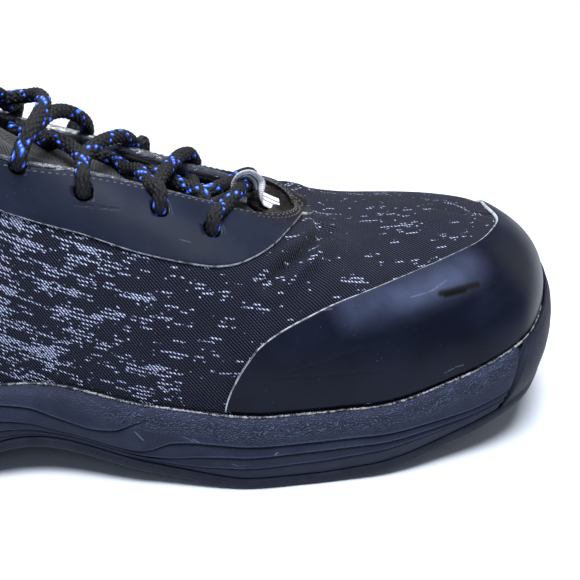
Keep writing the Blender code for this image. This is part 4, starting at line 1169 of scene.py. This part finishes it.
def make_tongue(look):
    """The padded tongue: full in the middle, thin at its long edges where the eyestays press on it."""
    alongs, sides = ring_open(np.linspace(TONGUE_TOP, TONGUE_FRONT, TONGUE_COLUMNS))
    edge = by_side(opening_edge, alongs, sides)
    low = np.clip(edge - TONGUE_LAP, 0.40, 0.80)
    depth = UPPER_WALL + TONGUE_GAP
    outer, inner, place = [], [], []
    for share in np.linspace(0, 1, TONGUE_ROWS + 1):
        up = low + (1 - low) * share
        along = alongs + TONGUE_CROWN * share**2 * ramp(-alongs, -0.42, -TONGUE_TOP)
        end = np.clip((alongs - TONGUE_TOP) / 0.022, 0, 1)
        full = ramp(share, 0.0, 0.62) * 0.72 + 0.28
        full = full * np.sqrt(1 - (1 - end) ** 2) * 0.94 + 0.06
        quilt = 0.0005 * np.cos(alongs * 60) * ramp(share, 0.2, 0.6)
        sag = np.interp(alongs, SAG_PLACES, SAG_DEPTHS) * ramp(share, 0.0, 0.9)
        top = depth + TONGUE_THICK * (1 - full) * 0.60 + quilt + sag
        outer.append(by_side(skin, along, sides, up, -top))
        inner.append(by_side(skin, along, sides, up, -depth - sag - TONGUE_THICK * (0.55 + 0.45 * full)))
        place.append(by_side(cloth, along, sides, up))
    part = sheet_piece("tongue_pad", outer, inner, place, look)
    return dress(part, "tongue", "tongue")


def side_levels(alongs):
    """Rows up the midsole's side: height shares, how far each stands back, and its groove and lip."""
    depth = through(EDGES, "depth", alongs) * STEP_DEPTH * 1.3
    wave_depth = through(EDGES, "wave_depth", alongs) * STEP_DEPTH * 1.2
    sharp = 0.010
    marks = [(np.full_like(alongs, 0.0), 0 * depth, 0.0, 0.0)]
    for name, deep in (("third", depth), ("second", depth), ("first", depth), ("wave", wave_depth)):
        height = through(EDGES, name, alongs)
        # The groove row gives the strength of the painted shade in its groove, the row above it that of the
        # painted highlight on its lip.
        marks += [
            (height - 5 * sharp, 0.25 * deep, 0.0, 0.0),
            (height - sharp, deep, deep / STEP_DEPTH, 0.0),
            (height + 0.3 * sharp, -0.25 * deep, 0.0, deep / STEP_DEPTH),
            (height + 3 * sharp, 0 * deep, 0.0, 0.0),
        ]
    marks.append((np.full_like(alongs, 1.0), 0 * depth, 0.0, 0.0))
    rows = []
    for low, high in zip(marks, marks[1:]):
        steps = 6 if (high[0] - low[0]).mean() > 0.06 else 2
        for k in range(steps):
            rows.append([a + (b - a) * k / steps for a, b in zip(low, high)])
    rows.append(list(marks[-1]))
    return rows


SHOULDER_START = 0.80
SHOULDER_REACH = 0.0026


def shoulder(share):
    """How far the rim's rounded shoulder stands in, near the top of the side."""
    into = np.clip((share - SHOULDER_START) / (1 - SHOULDER_START), 0, 1)
    return SHOULDER_REACH * (1 - np.sqrt(np.maximum(1 - into**2.2, 0.0)))


def make_midsole(look):
    alongs, sides = ring(plan_stations(18, 170, 44))
    in_bumper = ramp(alongs, BUMPER_START - 0.006, BUMPER_START - 0.001)
    recess = -(BUMPER_THICK + GAP) * in_bumper
    rows, shares, step_shading = [], [], []
    for share, back, groove, lip in side_levels(alongs):
        out = side_bulge(share) - back * (1 - in_bumper) + recess - shoulder(share)
        points = side_row(alongs, sides, share, out)
        points[:, 2] += SOLE_GAP * (1 - share)
        rows.append(points)
        shares.append(share)
        step_shading.append(level(0 * alongs + groove, 0 * alongs + lip, 0.0)[:, :2] / 1000)
    inner = cup_floor(alongs, sides, 0.0)
    top = rows[-1]
    for t in (0.35, 0.7, 1.0):
        points = top + (inner - top) * t
        points[:, 2] = top[:, 2] + 0.0003 * math.sin(math.pi * t)
        rows.append(points)
        shares.append(np.full_like(alongs, 1.0))
    for share in (0.0, 0.25, 0.6, 1.0):
        rows.append(cup_floor(alongs, sides, share))
        shares.append(np.full_like(alongs, 0.5))
    under_edge = split_height(alongs) + SOLE_GAP
    under_axis = split_height(pole(alongs)) + SOLE_GAP
    for share in (1.0, 0.6, 0.25, 0.0):
        out = -SIDE_LEAN - BUMPER_THICK - GAP
        rows.append(fan_row(alongs, sides, out, share, under_edge, under_axis))
        shares.append(np.full_like(alongs, 0.0))
    rows.append(rows[0])
    shares.append(shares[0])
    grid = np.array(rows)
    maps = side_maps(grid, alongs, sides, np.array(shares))
    step_shading += [np.zeros((len(alongs), 2))] * (len(grid) - len(step_shading))
    maps["step_shading"] = np.array(step_shading)
    keep = np.ones((len(grid) - 1, len(alongs)), bool)
    keep[len(grid) - 6] = False
    part = grid_piece("sole_unit", grid, maps, [look], closed=True, keep=keep)
    return dress(part, "midsole", "midsole")


def side_maps(grid, alongs, sides, shares):
    """Maps of the sole: run and height in metres, and the height share and place along the shoe."""
    x, y = outline_xy(alongs, sides, 0.0)
    steps = np.hypot(np.diff(x, append=x[:1]), np.diff(y, append=y[:1]))
    run = np.concatenate([[0.0], np.cumsum(steps)])
    climbs = np.linalg.norm(np.diff(grid, axis=0), axis=-1)
    walked = np.concatenate([np.zeros((1, grid.shape[1])), np.cumsum(climbs, 0)])
    walked = np.concatenate([walked, walked[:, :1]], 1)
    side_map = np.stack([np.broadcast_to(run, walked.shape), walked], -1)
    wide_shares = np.concatenate([shares, shares[:, :1]], 1)
    wide_alongs = np.concatenate([alongs, alongs[:1]])
    band_map = np.stack([wide_shares, np.broadcast_to(wide_alongs, wide_shares.shape)], -1)
    return {"side": side_map, "band": band_map, "step_shading": np.zeros_like(band_map)}


def make_outsole(look):
    """Tread with its lugs, the thin edge and the bumper that wraps up round the toe."""
    coarse = plan_stations(5, 14, 8)
    seam = [BUMPER_START - 0.0045, BUMPER_START - 0.0015, BUMPER_START]
    coarse = np.array(sorted([a for a in coarse if abs(a - BUMPER_START) > 0.012] + seam))
    cut = 8
    cells = [np.linspace(a, b, cut, endpoint=False) for a, b in zip(coarse, coarse[1:])]
    fine = np.concatenate([*cells, [1.0]])
    alongs, sides = ring(fine)
    tread = tread_height(alongs)
    tread_axis = tread_height(pole(alongs))
    band = TREAD_BAND / np.maximum(half_width(pole(alongs)), TREAD_BAND)
    in_cell = (np.arange(len(alongs)) % cut) / cut
    spacing = np.gradient(alongs) * LENGTH * cut
    beside = np.minimum(in_cell, 1 - in_cell) * np.abs(spacing)
    rows, shares = [], []
    limits = [*LUG_SHARES, None]
    for high, low in zip(limits, limits[1:]):
        for t in np.linspace(0, 1, 9)[: 9 if low is None else 8]:
            end = band if low is None else low
            share = high + (end - high) * t
            reach = np.abs(high - end) * np.maximum(half_width(pole(alongs)), 0.004)
            across = np.minimum(t, 1 - t) * reach
            near = np.minimum(beside, across)
            lug = ramp(near, 0.35 * LUG_GAP, 1.15 * LUG_GAP) * (alongs < BUMPER_START + 0.03)
            points = fan_row(alongs, sides, -TREAD_EDGE, share, tread, tread_axis)
            points[:, 2] += LUG_DEPTH * (1 - lug)
            rows.append(points)
            shares.append(0 * alongs)
    rows.append(fan_row(alongs, sides, -TREAD_EDGE, band * 0.9, tread, tread))
    rows.append(fan_row(alongs, sides, -TREAD_EDGE, 0.0, tread, tread))
    rows.append(fan_row(alongs, sides, -SIDE_LEAN - 0.0006, 0.0, tread + 0.06 * OUTSOLE_THICK, tread))
    rows.append(fan_row(alongs, sides, -SIDE_LEAN, 0.0, tread + 0.3 * OUTSOLE_THICK, tread))
    rows.append(fan_row(alongs, sides, -SIDE_LEAN, 0.0, tread + 0.62 * OUTSOLE_THICK, tread))
    rows.append(fan_row(alongs, sides, -SIDE_LEAN + 0.0004, 0.0, tread + 0.70 * OUTSOLE_THICK, tread))
    in_bumper = alongs >= BUMPER_START - 1e-9
    rise = ramp(alongs, BUMPER_START - 1e-6, BUMPER_START + 0.002)
    shares += [0 * alongs + value for value in (0.0, 0.0, 0.02, 0.06, 0.10, 0.12)]
    for share in (0.0, 0.08, 0.2, 0.35, 0.5, 0.65, 0.8, 0.9, 1.0):
        here = share * rise
        points = side_row(alongs, sides, share, side_bulge(share) - 0.6 * shoulder(np.array(share)))
        flat = side_row(alongs, sides, 0.0, -SIDE_LEAN)
        if share == 1.0:
            points[:, 2] += TOE_LIP * 0.6
        rows.append(np.where(in_bumper[:, None], points, flat))
        shares.append(0.15 + 0.85 * here)
    lip_back = -UPPER_INSET + LAYER_GAP + FILM + 2 * GAP
    for t in (0.5, 1.0):
        out = -SIDE_LEAN * (1 - t) + lip_back * t
        points = side_row(alongs, sides, 1.0, out)
        points[:, 2] += TOE_LIP
        flat = side_row(alongs, sides, 0.0, -SIDE_LEAN - 0.0004 * t)
        rows.append(np.where(in_bumper[:, None], points, flat))
        shares.append(0 * alongs + 1.0)
    for share in (0.65, 0.3):
        points = side_row(alongs, sides, share, side_bulge(share) - BUMPER_THICK)
        flat = side_row(alongs, sides, 0.0, -SIDE_LEAN - 0.001)
        rows.append(np.where(in_bumper[:, None], points, flat))
        shares.append(0 * alongs + 0.5)
    for share in (0.0, 0.4, 1.0):
        out = -SIDE_LEAN - BUMPER_THICK
        rows.append(fan_row(alongs, sides, out, share, split_height(alongs), split_height(pole(alongs))))
        shares.append(0 * alongs)
    grid = np.array(rows)
    maps = side_maps(grid, alongs, sides, np.array(shares))
    part = grid_piece("tread_sole", grid, maps, [look], closed=True)
    return dress(part, "outsole", "outsole")


def make_insole(look):
    """The loose footbed."""
    alongs, sides = ring(plan_stations(14, 80, 26))
    inset = UPPER_WALL + MARGIN_TUCK + INSOLE_PLAY
    x, y, way_x, way_y = [
        by_side(lambda a, s, n=n: outline(a, s, -UPPER_INSET)[n], alongs, sides) for n in range(4)
    ]
    centre_x, centre_y = axis_point(pole(alongs))
    reach = -(centre_x - x) * way_x - (centre_y - y) * way_y
    start = inset / reach
    rows = []
    top = INSOLE_LIFT + INSOLE_THICK
    for lift, steps in ((INSOLE_LIFT, (1.0, 0.5, 0.0)), (top, (0.0, 0.03, 0.2, 0.5, 0.8, 1.0))):
        for step in steps:
            points = cup_floor(alongs, sides, start + (1 - start) * step)
            drop = 0.0006 * (step == 0.0) * (lift > INSOLE_THICK)
            points[:, 2] += lift - drop
            rows.append(points)
    grid = np.array(rows)
    part = grid_piece("footbed", grid, {"cloth": grid[..., :2]}, [look], closed=True)
    return dress(part, "insole", "insole")


TAPE_WIDTH = 0.0076
TAPE_THICK = 0.0010
TAPE_SPACING = 0.0003
TAPE_COLUMNS = 19
# How far the tape turns its face outward, in degrees, at shares of its length
TAPE_TWIST_AT = (0.0, 0.22, 0.45, 0.75, 1.0)
TAPE_TWIST = (-16.0, -14.0, 42.0, 40.0, 20.0)


def camera_axes():
    """The camera's right, up and back directions."""
    azimuth, elevation, roll = (math.radians(angle) for angle in CAMERA_ANGLES)
    back = np.array([math.sin(azimuth) * math.cos(elevation), -math.cos(azimuth) * math.cos(elevation),
                     math.sin(elevation)])
    flat_right = np.array([math.cos(azimuth), math.sin(azimuth), 0.0])
    flat_up = np.cross(back, flat_right)
    right = math.cos(roll) * flat_right + math.sin(roll) * flat_up
    up = -math.sin(roll) * flat_right + math.cos(roll) * flat_up
    return right, up, back


def route(steps):
    """The points of a cord's or tape's route."""
    right, up, back = camera_axes()
    eye = CAMERA_TARGET + back * CAMERA_DISTANCE
    points = []
    for step in steps:
        if isinstance(step, Seen):
            ray = right * (step.across - PHOTO_CENTRE[0]) + up * (PHOTO_CENTRE[1] - step.down)
            ray = ray / FOCAL_PIXELS - back
            points.append(eye + ray * (step.y / 1000 - eye[1]) / ray[1])
        elif isinstance(step, Off):
            points.append(skin(step.along, step.side, step.up, step.out / 1000))
        else:
            eyelet = EYELETS[step.eyelet]
            passage = [skin(eyelet.along + shift.along, step.side, eyelet.up + shift.up, shift.out / 1000)
                       for shift in PASSAGE]
            points += passage[::-1] if isinstance(step, Inward) else passage
    return np.array(points)


def make_webbing(look):
    """The tape loop at the throat's base; it turns its face outward as it arches."""
    path, run = smooth_path(route(TAPE_POINTS), TAPE_SPACING)
    way = np.gradient(path, axis=0)
    way /= np.linalg.norm(way, axis=1, keepdims=True)
    face = np.stack([-way[:, 2], 0 * way[:, 0], way[:, 0]], -1)
    twist = np.radians(np.interp(run / run[-1], TAPE_TWIST_AT, TAPE_TWIST))[:, None]
    broad = np.array([0.0, 1.0, 0.0]) * np.cos(twist) + face * np.sin(twist)
    face = np.cross(broad, way)
    half = TAPE_WIDTH / 2
    across = np.linspace(-half, half, TAPE_COLUMNS)
    rows, tape = [], []
    for y, top in [(y, 1.0) for y in across] + [(y, -1.0) for y in across[::-1]]:
        round_edge = math.sqrt(max(1 - (abs(y) / half) ** 6, 0.02))
        rows.append(path + broad * y + face * (top * TAPE_THICK / 2 * round_edge))
        tape.append(np.stack([np.full_like(run, y), run], -1))
    grid = np.array(rows + rows[:1])
    part = grid_piece("lace_tape", grid, {"tape": np.array(tape + tape[:1])}, [look])
    close_ends(part)
    return dress(part, "webbing", "lace_loop")


def close_ends(part):
    """Fill the open ends of a tube."""
    mesh = bmesh.new()
    mesh.from_mesh(part.data)
    bmesh.ops.holes_fill(mesh, edges=mesh.edges, sides=0)
    bmesh.ops.recalc_face_normals(mesh, faces=mesh.faces)
    mesh.to_mesh(part.data)
    mesh.free()


LACE_SPACING = 0.0004
LACE_SIDES = 32


def make_lace(look):
    """One braided cord through the tape loop and every eyelet, with a raised braid on its surface."""
    near_half, far_half = (route(half) for half in LACE_HALVES)
    path, run = smooth_path(np.concatenate([near_half[::-1], far_half[1:]]), LACE_SPACING)
    turns = np.arange(LACE_SIDES + 1) / LACE_SIDES
    lay = BRAID_LAY / 1000.0
    first = turns[:, None] * STRANDS + run / lay
    second = turns[:, None] * STRANDS - run / lay
    odd = (np.floor(first) + np.floor(second)) % 2
    over = np.where(odd == 0, first % 1, second % 1)
    other = np.where(odd == 0, second % 1, first % 1)
    crown = np.sin(np.pi * over) ** 0.7 * (0.55 + 0.45 * np.sin(np.pi * other))
    radius = CORD_RADIUS * (0.90 + 0.15 * crown)
    braid = np.stack(np.broadcast_arrays(turns[:, None], run), -1)
    part = grid_piece("lace_cord", tube(path, radius[..., None], turns), {"braid": braid}, [look])
    close_ends(part)
    print("lace length", round(float(run[-1]), 4))
    crossings = [f"lace_crossing_{k}" for k in range(1, len(EYELETS))]
    return dress(part, "lace", "lace_bar", *crossings)


BINDING_SPACING = 0.0008
BINDING_SIDES = 16


def make_binding(look):
    """The film's glossy rolled edge round the throat."""
    path, run = smooth_path(throat_line(0.0001, -0.0004), BINDING_SPACING)
    turns = np.arange(BINDING_SIDES + 1) / BINDING_SIDES
    thin = (1 - 0.75 * ramp(path[:, 0], 0.034, 0.048)) * np.where(path[:, 1] < PLAN_OFFSET - 0.003, 0.60, 1.0)
    thin = np.convolve(np.pad(thin, 6, mode="edge"), np.full(13, 1 / 13), "valid")
    grid = tube(path, BINDING_RADIUS * thin[:, None], turns)
    spot = np.stack(np.broadcast_arrays(turns[:, None] * 2 * math.pi * BINDING_RADIUS, run), -1)
    part = grid_piece("throat_binding", grid, {"cloth": spot}, [look])
    close_ends(part)
    return dress(part, "stay_film")


PATCH_START, PATCH_END = 0.700, 0.766
PATCH_COLUMNS = 64
PATCH_ROWS = 40
PATCH_THICK = 0.0006


def make_patch(look):
    """The wrinkled film that closes the throat's front, under the tape's stitched end."""
    alongs, sides = ring_open(np.linspace(PATCH_START, PATCH_END, PATCH_COLUMNS))
    edge = by_side(opening_edge, alongs, sides)
    low = np.minimum(edge, 0.98) - 0.07 * np.sqrt(1 - np.clip((alongs - 0.738) / 0.034, 0, 1) ** 2)
    front = ramp(alongs, PATCH_START, PATCH_START + 0.022)
    outer, inner, place = [], [], []
    for share in np.linspace(0, 1, PATCH_ROWS + 1):
        up = low + (1 - low) * share
        spot = by_side(cloth, alongs, sides, up)
        rough = np.array([noise.noise(Vector((x * 420, y * 700, 2.0))) for x, y in spot])
        out = -0.0021 + 0.0023 * front + 0.0004 * rough
        outer.append(by_side(skin, alongs, sides, up, out))
        inner.append(by_side(skin, alongs, sides, up, out - PATCH_THICK))
        place.append(spot)
    inside = [0 * spot + 0.01 for spot in place]
    return dress(sheet_piece("throat_patch", outer, inner, place, look, inside), "stay_film")


def binding_look():
    """Creased glossy film of the rolled edge, with painted highlights on its creases."""
    look = Look("binding")
    u, v = look.coordinates("cloth")
    creases = look.noise(look.vector(u * 0.8, v * 0.35), 1.0, 3.0, 0.6, 0.6)
    # The creases are painted pale: painted highlights along the rolled edge.
    tint = look.colour(creases, (0.010, 0.011, 0.016), (0.060, 0.066, 0.085))
    return look.finish(tint, 0.16, creases, 0.0006, Specular_IOR_Level=1.0)


CORD_RADIUS = 0.0022
BINDING_RADIUS = 0.0017
STITCH_PITCH = 0.0021
STITCH_RADIUS = 0.00028
SEAM_INSET = 0.0022
# The tape's black seams: how far each lies from the throat's edge and where it begins, and their thread
TAPE_SEAMS = ((0.0038, 0.668), (0.0014, 0.690))
TAPE_STITCH_PITCH = 0.0016
TAPE_STITCH_RADIUS = 0.00042
# A point under the throat, from which a thread's outer side is told
INSIDE_POINT = (0.02, 0.0, 0.02)


def stitches(name, paths, look, slot, pitch=STITCH_PITCH, radius=STITCH_RADIUS):
    """Short sunk-ended threads along paths on a surface, as one joined mesh."""
    verts, faces = [], []
    sides, rings = 6, 5
    for path in paths:
        points, run = smooth_path(path, pitch / 8)
        across, above = frames(points)
        count = int(run[-1] / pitch)
        for k in range(count):
            centre = (k + 0.5) * pitch
            base = len(verts)
            for ring_number in range(rings):
                t = ring_number / (rings - 1) * 2 - 1
                at = centre + t * pitch * 0.36
                n = int(np.clip(np.searchsorted(run, at), 0, len(run) - 1))
                sink = (abs(t) ** 3) * radius * 1.2
                size = radius * (1 - 0.45 * abs(t) ** 3)
                up = above[n] if above[n].dot(points[n] - INSIDE_POINT) > 0 else -above[n]
                for s in range(sides):
                    angle = 2 * math.pi * s / sides
                    way = math.cos(angle) * across[n] + math.sin(angle) * above[n]
                    verts.append(points[n] - up * sink + size * way)
            for ring_number in range(rings - 1):
                for s in range(sides):
                    a = base + ring_number * sides + s
                    b = base + ring_number * sides + (s + 1) % sides
                    faces.append((a, b, b + sides, a + sides))
            faces.append(tuple(base + s for s in range(sides))[::-1])
            faces.append(tuple(base + (rings - 1) * sides + s for s in range(sides)))
    data = bpy.data.meshes.new(name)
    data.from_pydata([tuple(map(float, v)) for v in verts], [], faces)
    return dress(placed(name, data, [look]), slot)


def throat_tip():
    """The station whose rib meets the ridge at the throat's front."""
    return (THROAT_FRONT / LENGTH + 0.5 - HEEL_POLE) / (TOE_POLE - HEEL_POLE)


def throat_line(offset, out, low=0.325):
    """A line on the throat film that follows the throat's edge at an offset."""
    tip = throat_tip()
    line = []
    for side in (LATERAL, MEDIAL):
        bend = tip - 0.058 * np.linspace(1, 0, 16) ** 1.8
        alongs = np.concatenate([np.linspace(low, tip - 0.06, 40), bend])
        edge = opening_edge(alongs, side)
        edge[-1] = min(edge[-1], 0.995)
        down = []
        for along, up in zip(alongs, edge):
            steps = np.linspace(up, up - 0.25, 40)
            far = girth(np.full(40, along), side, steps) - girth(np.array([along]), side, np.array([up]))
            down.append(np.interp(offset, far, steps))
        points = skin(alongs, side, np.array(down), out)
        line.append(points if side == LATERAL else points[::-1])
    front = skin(tip + offset / LENGTH * 1.35, LATERAL, 1.0, out)
    return np.concatenate([line[0], [front], line[1]])


FLASH_SIZE = 0.00034
FLASH_LEAST = 0.00012


def make_flash(look):
    """The frayed edge that stands along the sole's rim beside the upper."""
    alongs, sides = ring(np.linspace(0.0, 0.965, 900))
    jitter = np.array([noise.noise(Vector((a * 900 * s, s * 3.7, 0.0))) for a, s in zip(alongs, sides)])
    slow = np.array([noise.noise(Vector((a * 130 * s, s * 1.3, 5.0))) for a, s in zip(alongs, sides)])
    size = np.maximum(FLASH_SIZE * (1 + 0.9 * jitter + 0.6 * slow), FLASH_LEAST)
    grid = []
    for angle in np.linspace(0, math.pi, 5):
        out = -UPPER_INSET + RIM_PLAY + 0.0005 + size * math.cos(angle) + 0.0002 * slow
        x, y = outline_xy(alongs, sides, out)
        grid.append(level(x, y, rim_height(alongs) - 0.0001 + 1.5 * size * math.sin(angle)))
    part = grid_piece("rim_flash", np.array(grid + grid[:1]), {}, [look])
    return dress(part, "midsole")


def make_camera():
    """The photograph's view: a lens of medium length, from the front outer quarter and above."""
    right, up, back = (Vector(axis) for axis in camera_axes())
    data = bpy.data.cameras.new("camera")
    data.sensor_width = 36.0
    data.lens = FOCAL_PIXELS / PHOTO_WIDTH * data.sensor_width
    data.shift_x = (PHOTO_WIDTH / 2 - PHOTO_CENTRE[0]) / PHOTO_WIDTH
    data.shift_y = (PHOTO_CENTRE[1] - PHOTO_WIDTH / 2) / PHOTO_WIDTH
    data.clip_start = 0.01
    camera = bpy.data.objects.new("camera", data)
    turn = Matrix((right, up, back)).transposed().to_4x4()
    camera.matrix_world = Matrix.Translation(Vector(CAMERA_TARGET) + back * CAMERA_DISTANCE) @ turn
    bpy.context.scene.collection.objects.link(camera)
    bpy.context.scene.camera = camera


# The studio: its sky, and round lamps with their places, aims, sizes in metres and powers in watts
SKY_COLOUR = (0.66, 0.80, 1.0, 1.0)
SKY_STRENGTH = 0.22
FLOOR_HALF = 6.0
Lamp = namedtuple("Lamp", "name place target size power colour")
LAMPS = (
    Lamp("softbox", (0.00, -0.36, 1.05), (0.04, 0.0, 0.05), 0.50, 24.0, (0.93, 0.96, 1.0)),
    Lamp("front_fill", (-0.10, -1.20, 0.85), (0.04, 0.0, 0.03), 0.60, 1.6, (0.80, 0.88, 1.0)),
    Lamp("floor_light", (0.10, 1.10, 1.30), (0.10, 0.95, 0.0), 1.20, 22.0, (0.97, 0.98, 1.0)),
    Lamp("warm_side", (1.00, 0.25, 0.45), (0.12, 0.0, 0.04), 0.80, 1.1, (1.0, 0.86, 0.60)),
)


def make_studio():
    """A plain pale floor under soft light."""
    world = bpy.data.worlds.new("studio")
    world.use_nodes = True
    world.node_tree.nodes["Background"].inputs[0].default_value = SKY_COLOUR
    world.node_tree.nodes["Background"].inputs[1].default_value = SKY_STRENGTH
    bpy.context.scene.world = world
    bpy.context.scene.view_settings.view_transform = "Standard"
    for lamp in LAMPS:
        data = bpy.data.lights.new(lamp.name, "AREA")
        data.shape = "DISK"
        data.size = lamp.size
        data.energy = lamp.power
        data.color = lamp.colour
        light = bpy.data.objects.new(lamp.name, data)
        light.location = lamp.place
        way = Vector(lamp.target) - Vector(lamp.place)
        light.rotation_euler = way.to_track_quat("-Z", "Y").to_euler()
        bpy.context.scene.collection.objects.link(light)
    look = Look("floor")
    speck = look.noise(look.place(), 60.0, 3.0)
    material = look.finish(look.colour(speck, (0.60, 0.63, 0.69), (0.62, 0.65, 0.71)), 0.75)
    mesh = bmesh.new()
    bmesh.ops.create_grid(mesh, x_segments=1, y_segments=1, size=FLOOR_HALF)
    data = bpy.data.meshes.new("floor")
    mesh.to_mesh(data)
    mesh.free()
    data.materials.append(material)
    floor = bpy.data.objects.new("floor", data)
    bpy.context.scene.collection.objects.link(floor)


# Where the throat film's wrinkled front, with its painted warm reflection, begins, in millimetres along the
# shoe
STAY_WRINKLES_FROM = 33.0
# Marks of wear, and bands of painted highlight: kind, side, from and to as (along, up), half width and
# softness in millimetres
GUARD_MARKS = (
    ("haze_and_highlight", LATERAL, (0.735, 0.400), (0.885, 0.520), 0.2, 11.0),
    ("haze_and_highlight", LATERAL, (0.790, 0.430), (0.860, 0.470), 0.2, 6.0),
    ("dark", LATERAL, (0.838, 0.420), (0.882, 0.414), 0.3, 1.5),
    ("dark", LATERAL, (0.842, 0.405), (0.864, 0.403), 0.1, 1.4),
    ("light", LATERAL, (0.804, 0.432), (0.832, 0.446), 0.10, 0.35),
    ("light", LATERAL, (0.832, 0.447), (0.851, 0.478), 0.12, 0.45),
    ("light", LATERAL, (0.822, 0.050), (0.832, 0.056), 0.10, 0.30),
    ("light", LATERAL, (0.834, 0.058), (0.842, 0.053), 0.10, 0.30),
    ("fold", LATERAL, (0.655, 0.150), (0.750, 0.245), 0.10, 0.9),
    ("fold", LATERAL, (0.640, 0.135), (0.755, 0.135), 0.10, 0.9),
    ("light", LATERAL, (0.700, 0.375), (0.712, 0.385), 0.06, 0.25),
)
STAY_MARKS = (
    ("fold", LATERAL, (0.452, 0.540), (0.500, 0.598), 0.10, 0.6),
    ("light", LATERAL, (0.560, 0.560), (0.572, 0.562), 0.05, 0.25),
    ("fold", LATERAL, (0.690, 0.720), (0.668, 0.745), 0.2, 1.2),
)


# Dark and light base colours of the finishes
GUARD_COLOURS = (0.0026, 0.0036, 0.0090), (0.0046, 0.0062, 0.0150)
STAY_COLOURS = (0.0060, 0.0085, 0.0190), (0.0100, 0.0135, 0.0280)
TONGUE_COLOURS = (0.004, 0.004, 0.006), (0.022, 0.023, 0.028)
MIDSOLE_COLOURS = (0.0095, 0.0125, 0.0280), (0.0165, 0.0210, 0.0430)
OUTSOLE_COLOURS = (0.0085, 0.0105, 0.0210), (0.0150, 0.0180, 0.0330)
FOOTBED_COLOURS = (0.020, 0.020, 0.024), (0.060, 0.060, 0.066)
THREAD_COLOURS = (0.010, 0.011, 0.014), (0.075, 0.080, 0.095)
BLACK_COLOURS = (0.0020, 0.0020, 0.0024), (0.030, 0.030, 0.034)


def build():
    make_camera()
    make_studio()
    upper = make_upper(knit_look(), lining_look())
    guard_film = film_look("toe_film", *GUARD_COLOURS, 0.35, 0.11, GUARD_MARKS)
    stay_film = film_look("stay_film", *STAY_COLOURS, 0.44, 0.11, STAY_MARKS, STAY_WRINKLES_FROM)
    make_guard(guard_film)
    stay = make_stay(stay_film)
    punch(upper, stay)
    make_tongue(textile_look("tongue", *TONGUE_COLOURS, 0.9))
    make_midsole(rubber_look("midsole", *MIDSOLE_COLOURS, 0.48, True))
    make_outsole(rubber_look("outsole", *OUTSOLE_COLOURS, 0.55, False))
    make_insole(textile_look("insole", *FOOTBED_COLOURS, 0.8))
    make_webbing(webbing_look())
    make_lace(lace_look())
    film_top = LAYER_GAP + FILM
    thread = thread_look("thread", *THREAD_COLOURS)
    stitches("throat_stitches", [throat_line(SEAM_INSET, film_top)], thread, "stay_film")
    seams = [throat_line(offset, film_top, start) for offset, start in TAPE_SEAMS]
    black = thread_look("black_thread", *BLACK_COLOURS)
    stitches("tape_stitches", seams, black, "stay_film", TAPE_STITCH_PITCH, TAPE_STITCH_RADIUS)
    make_flash(flash_look())
    make_binding(binding_look())
    make_patch(stay_film)


build()
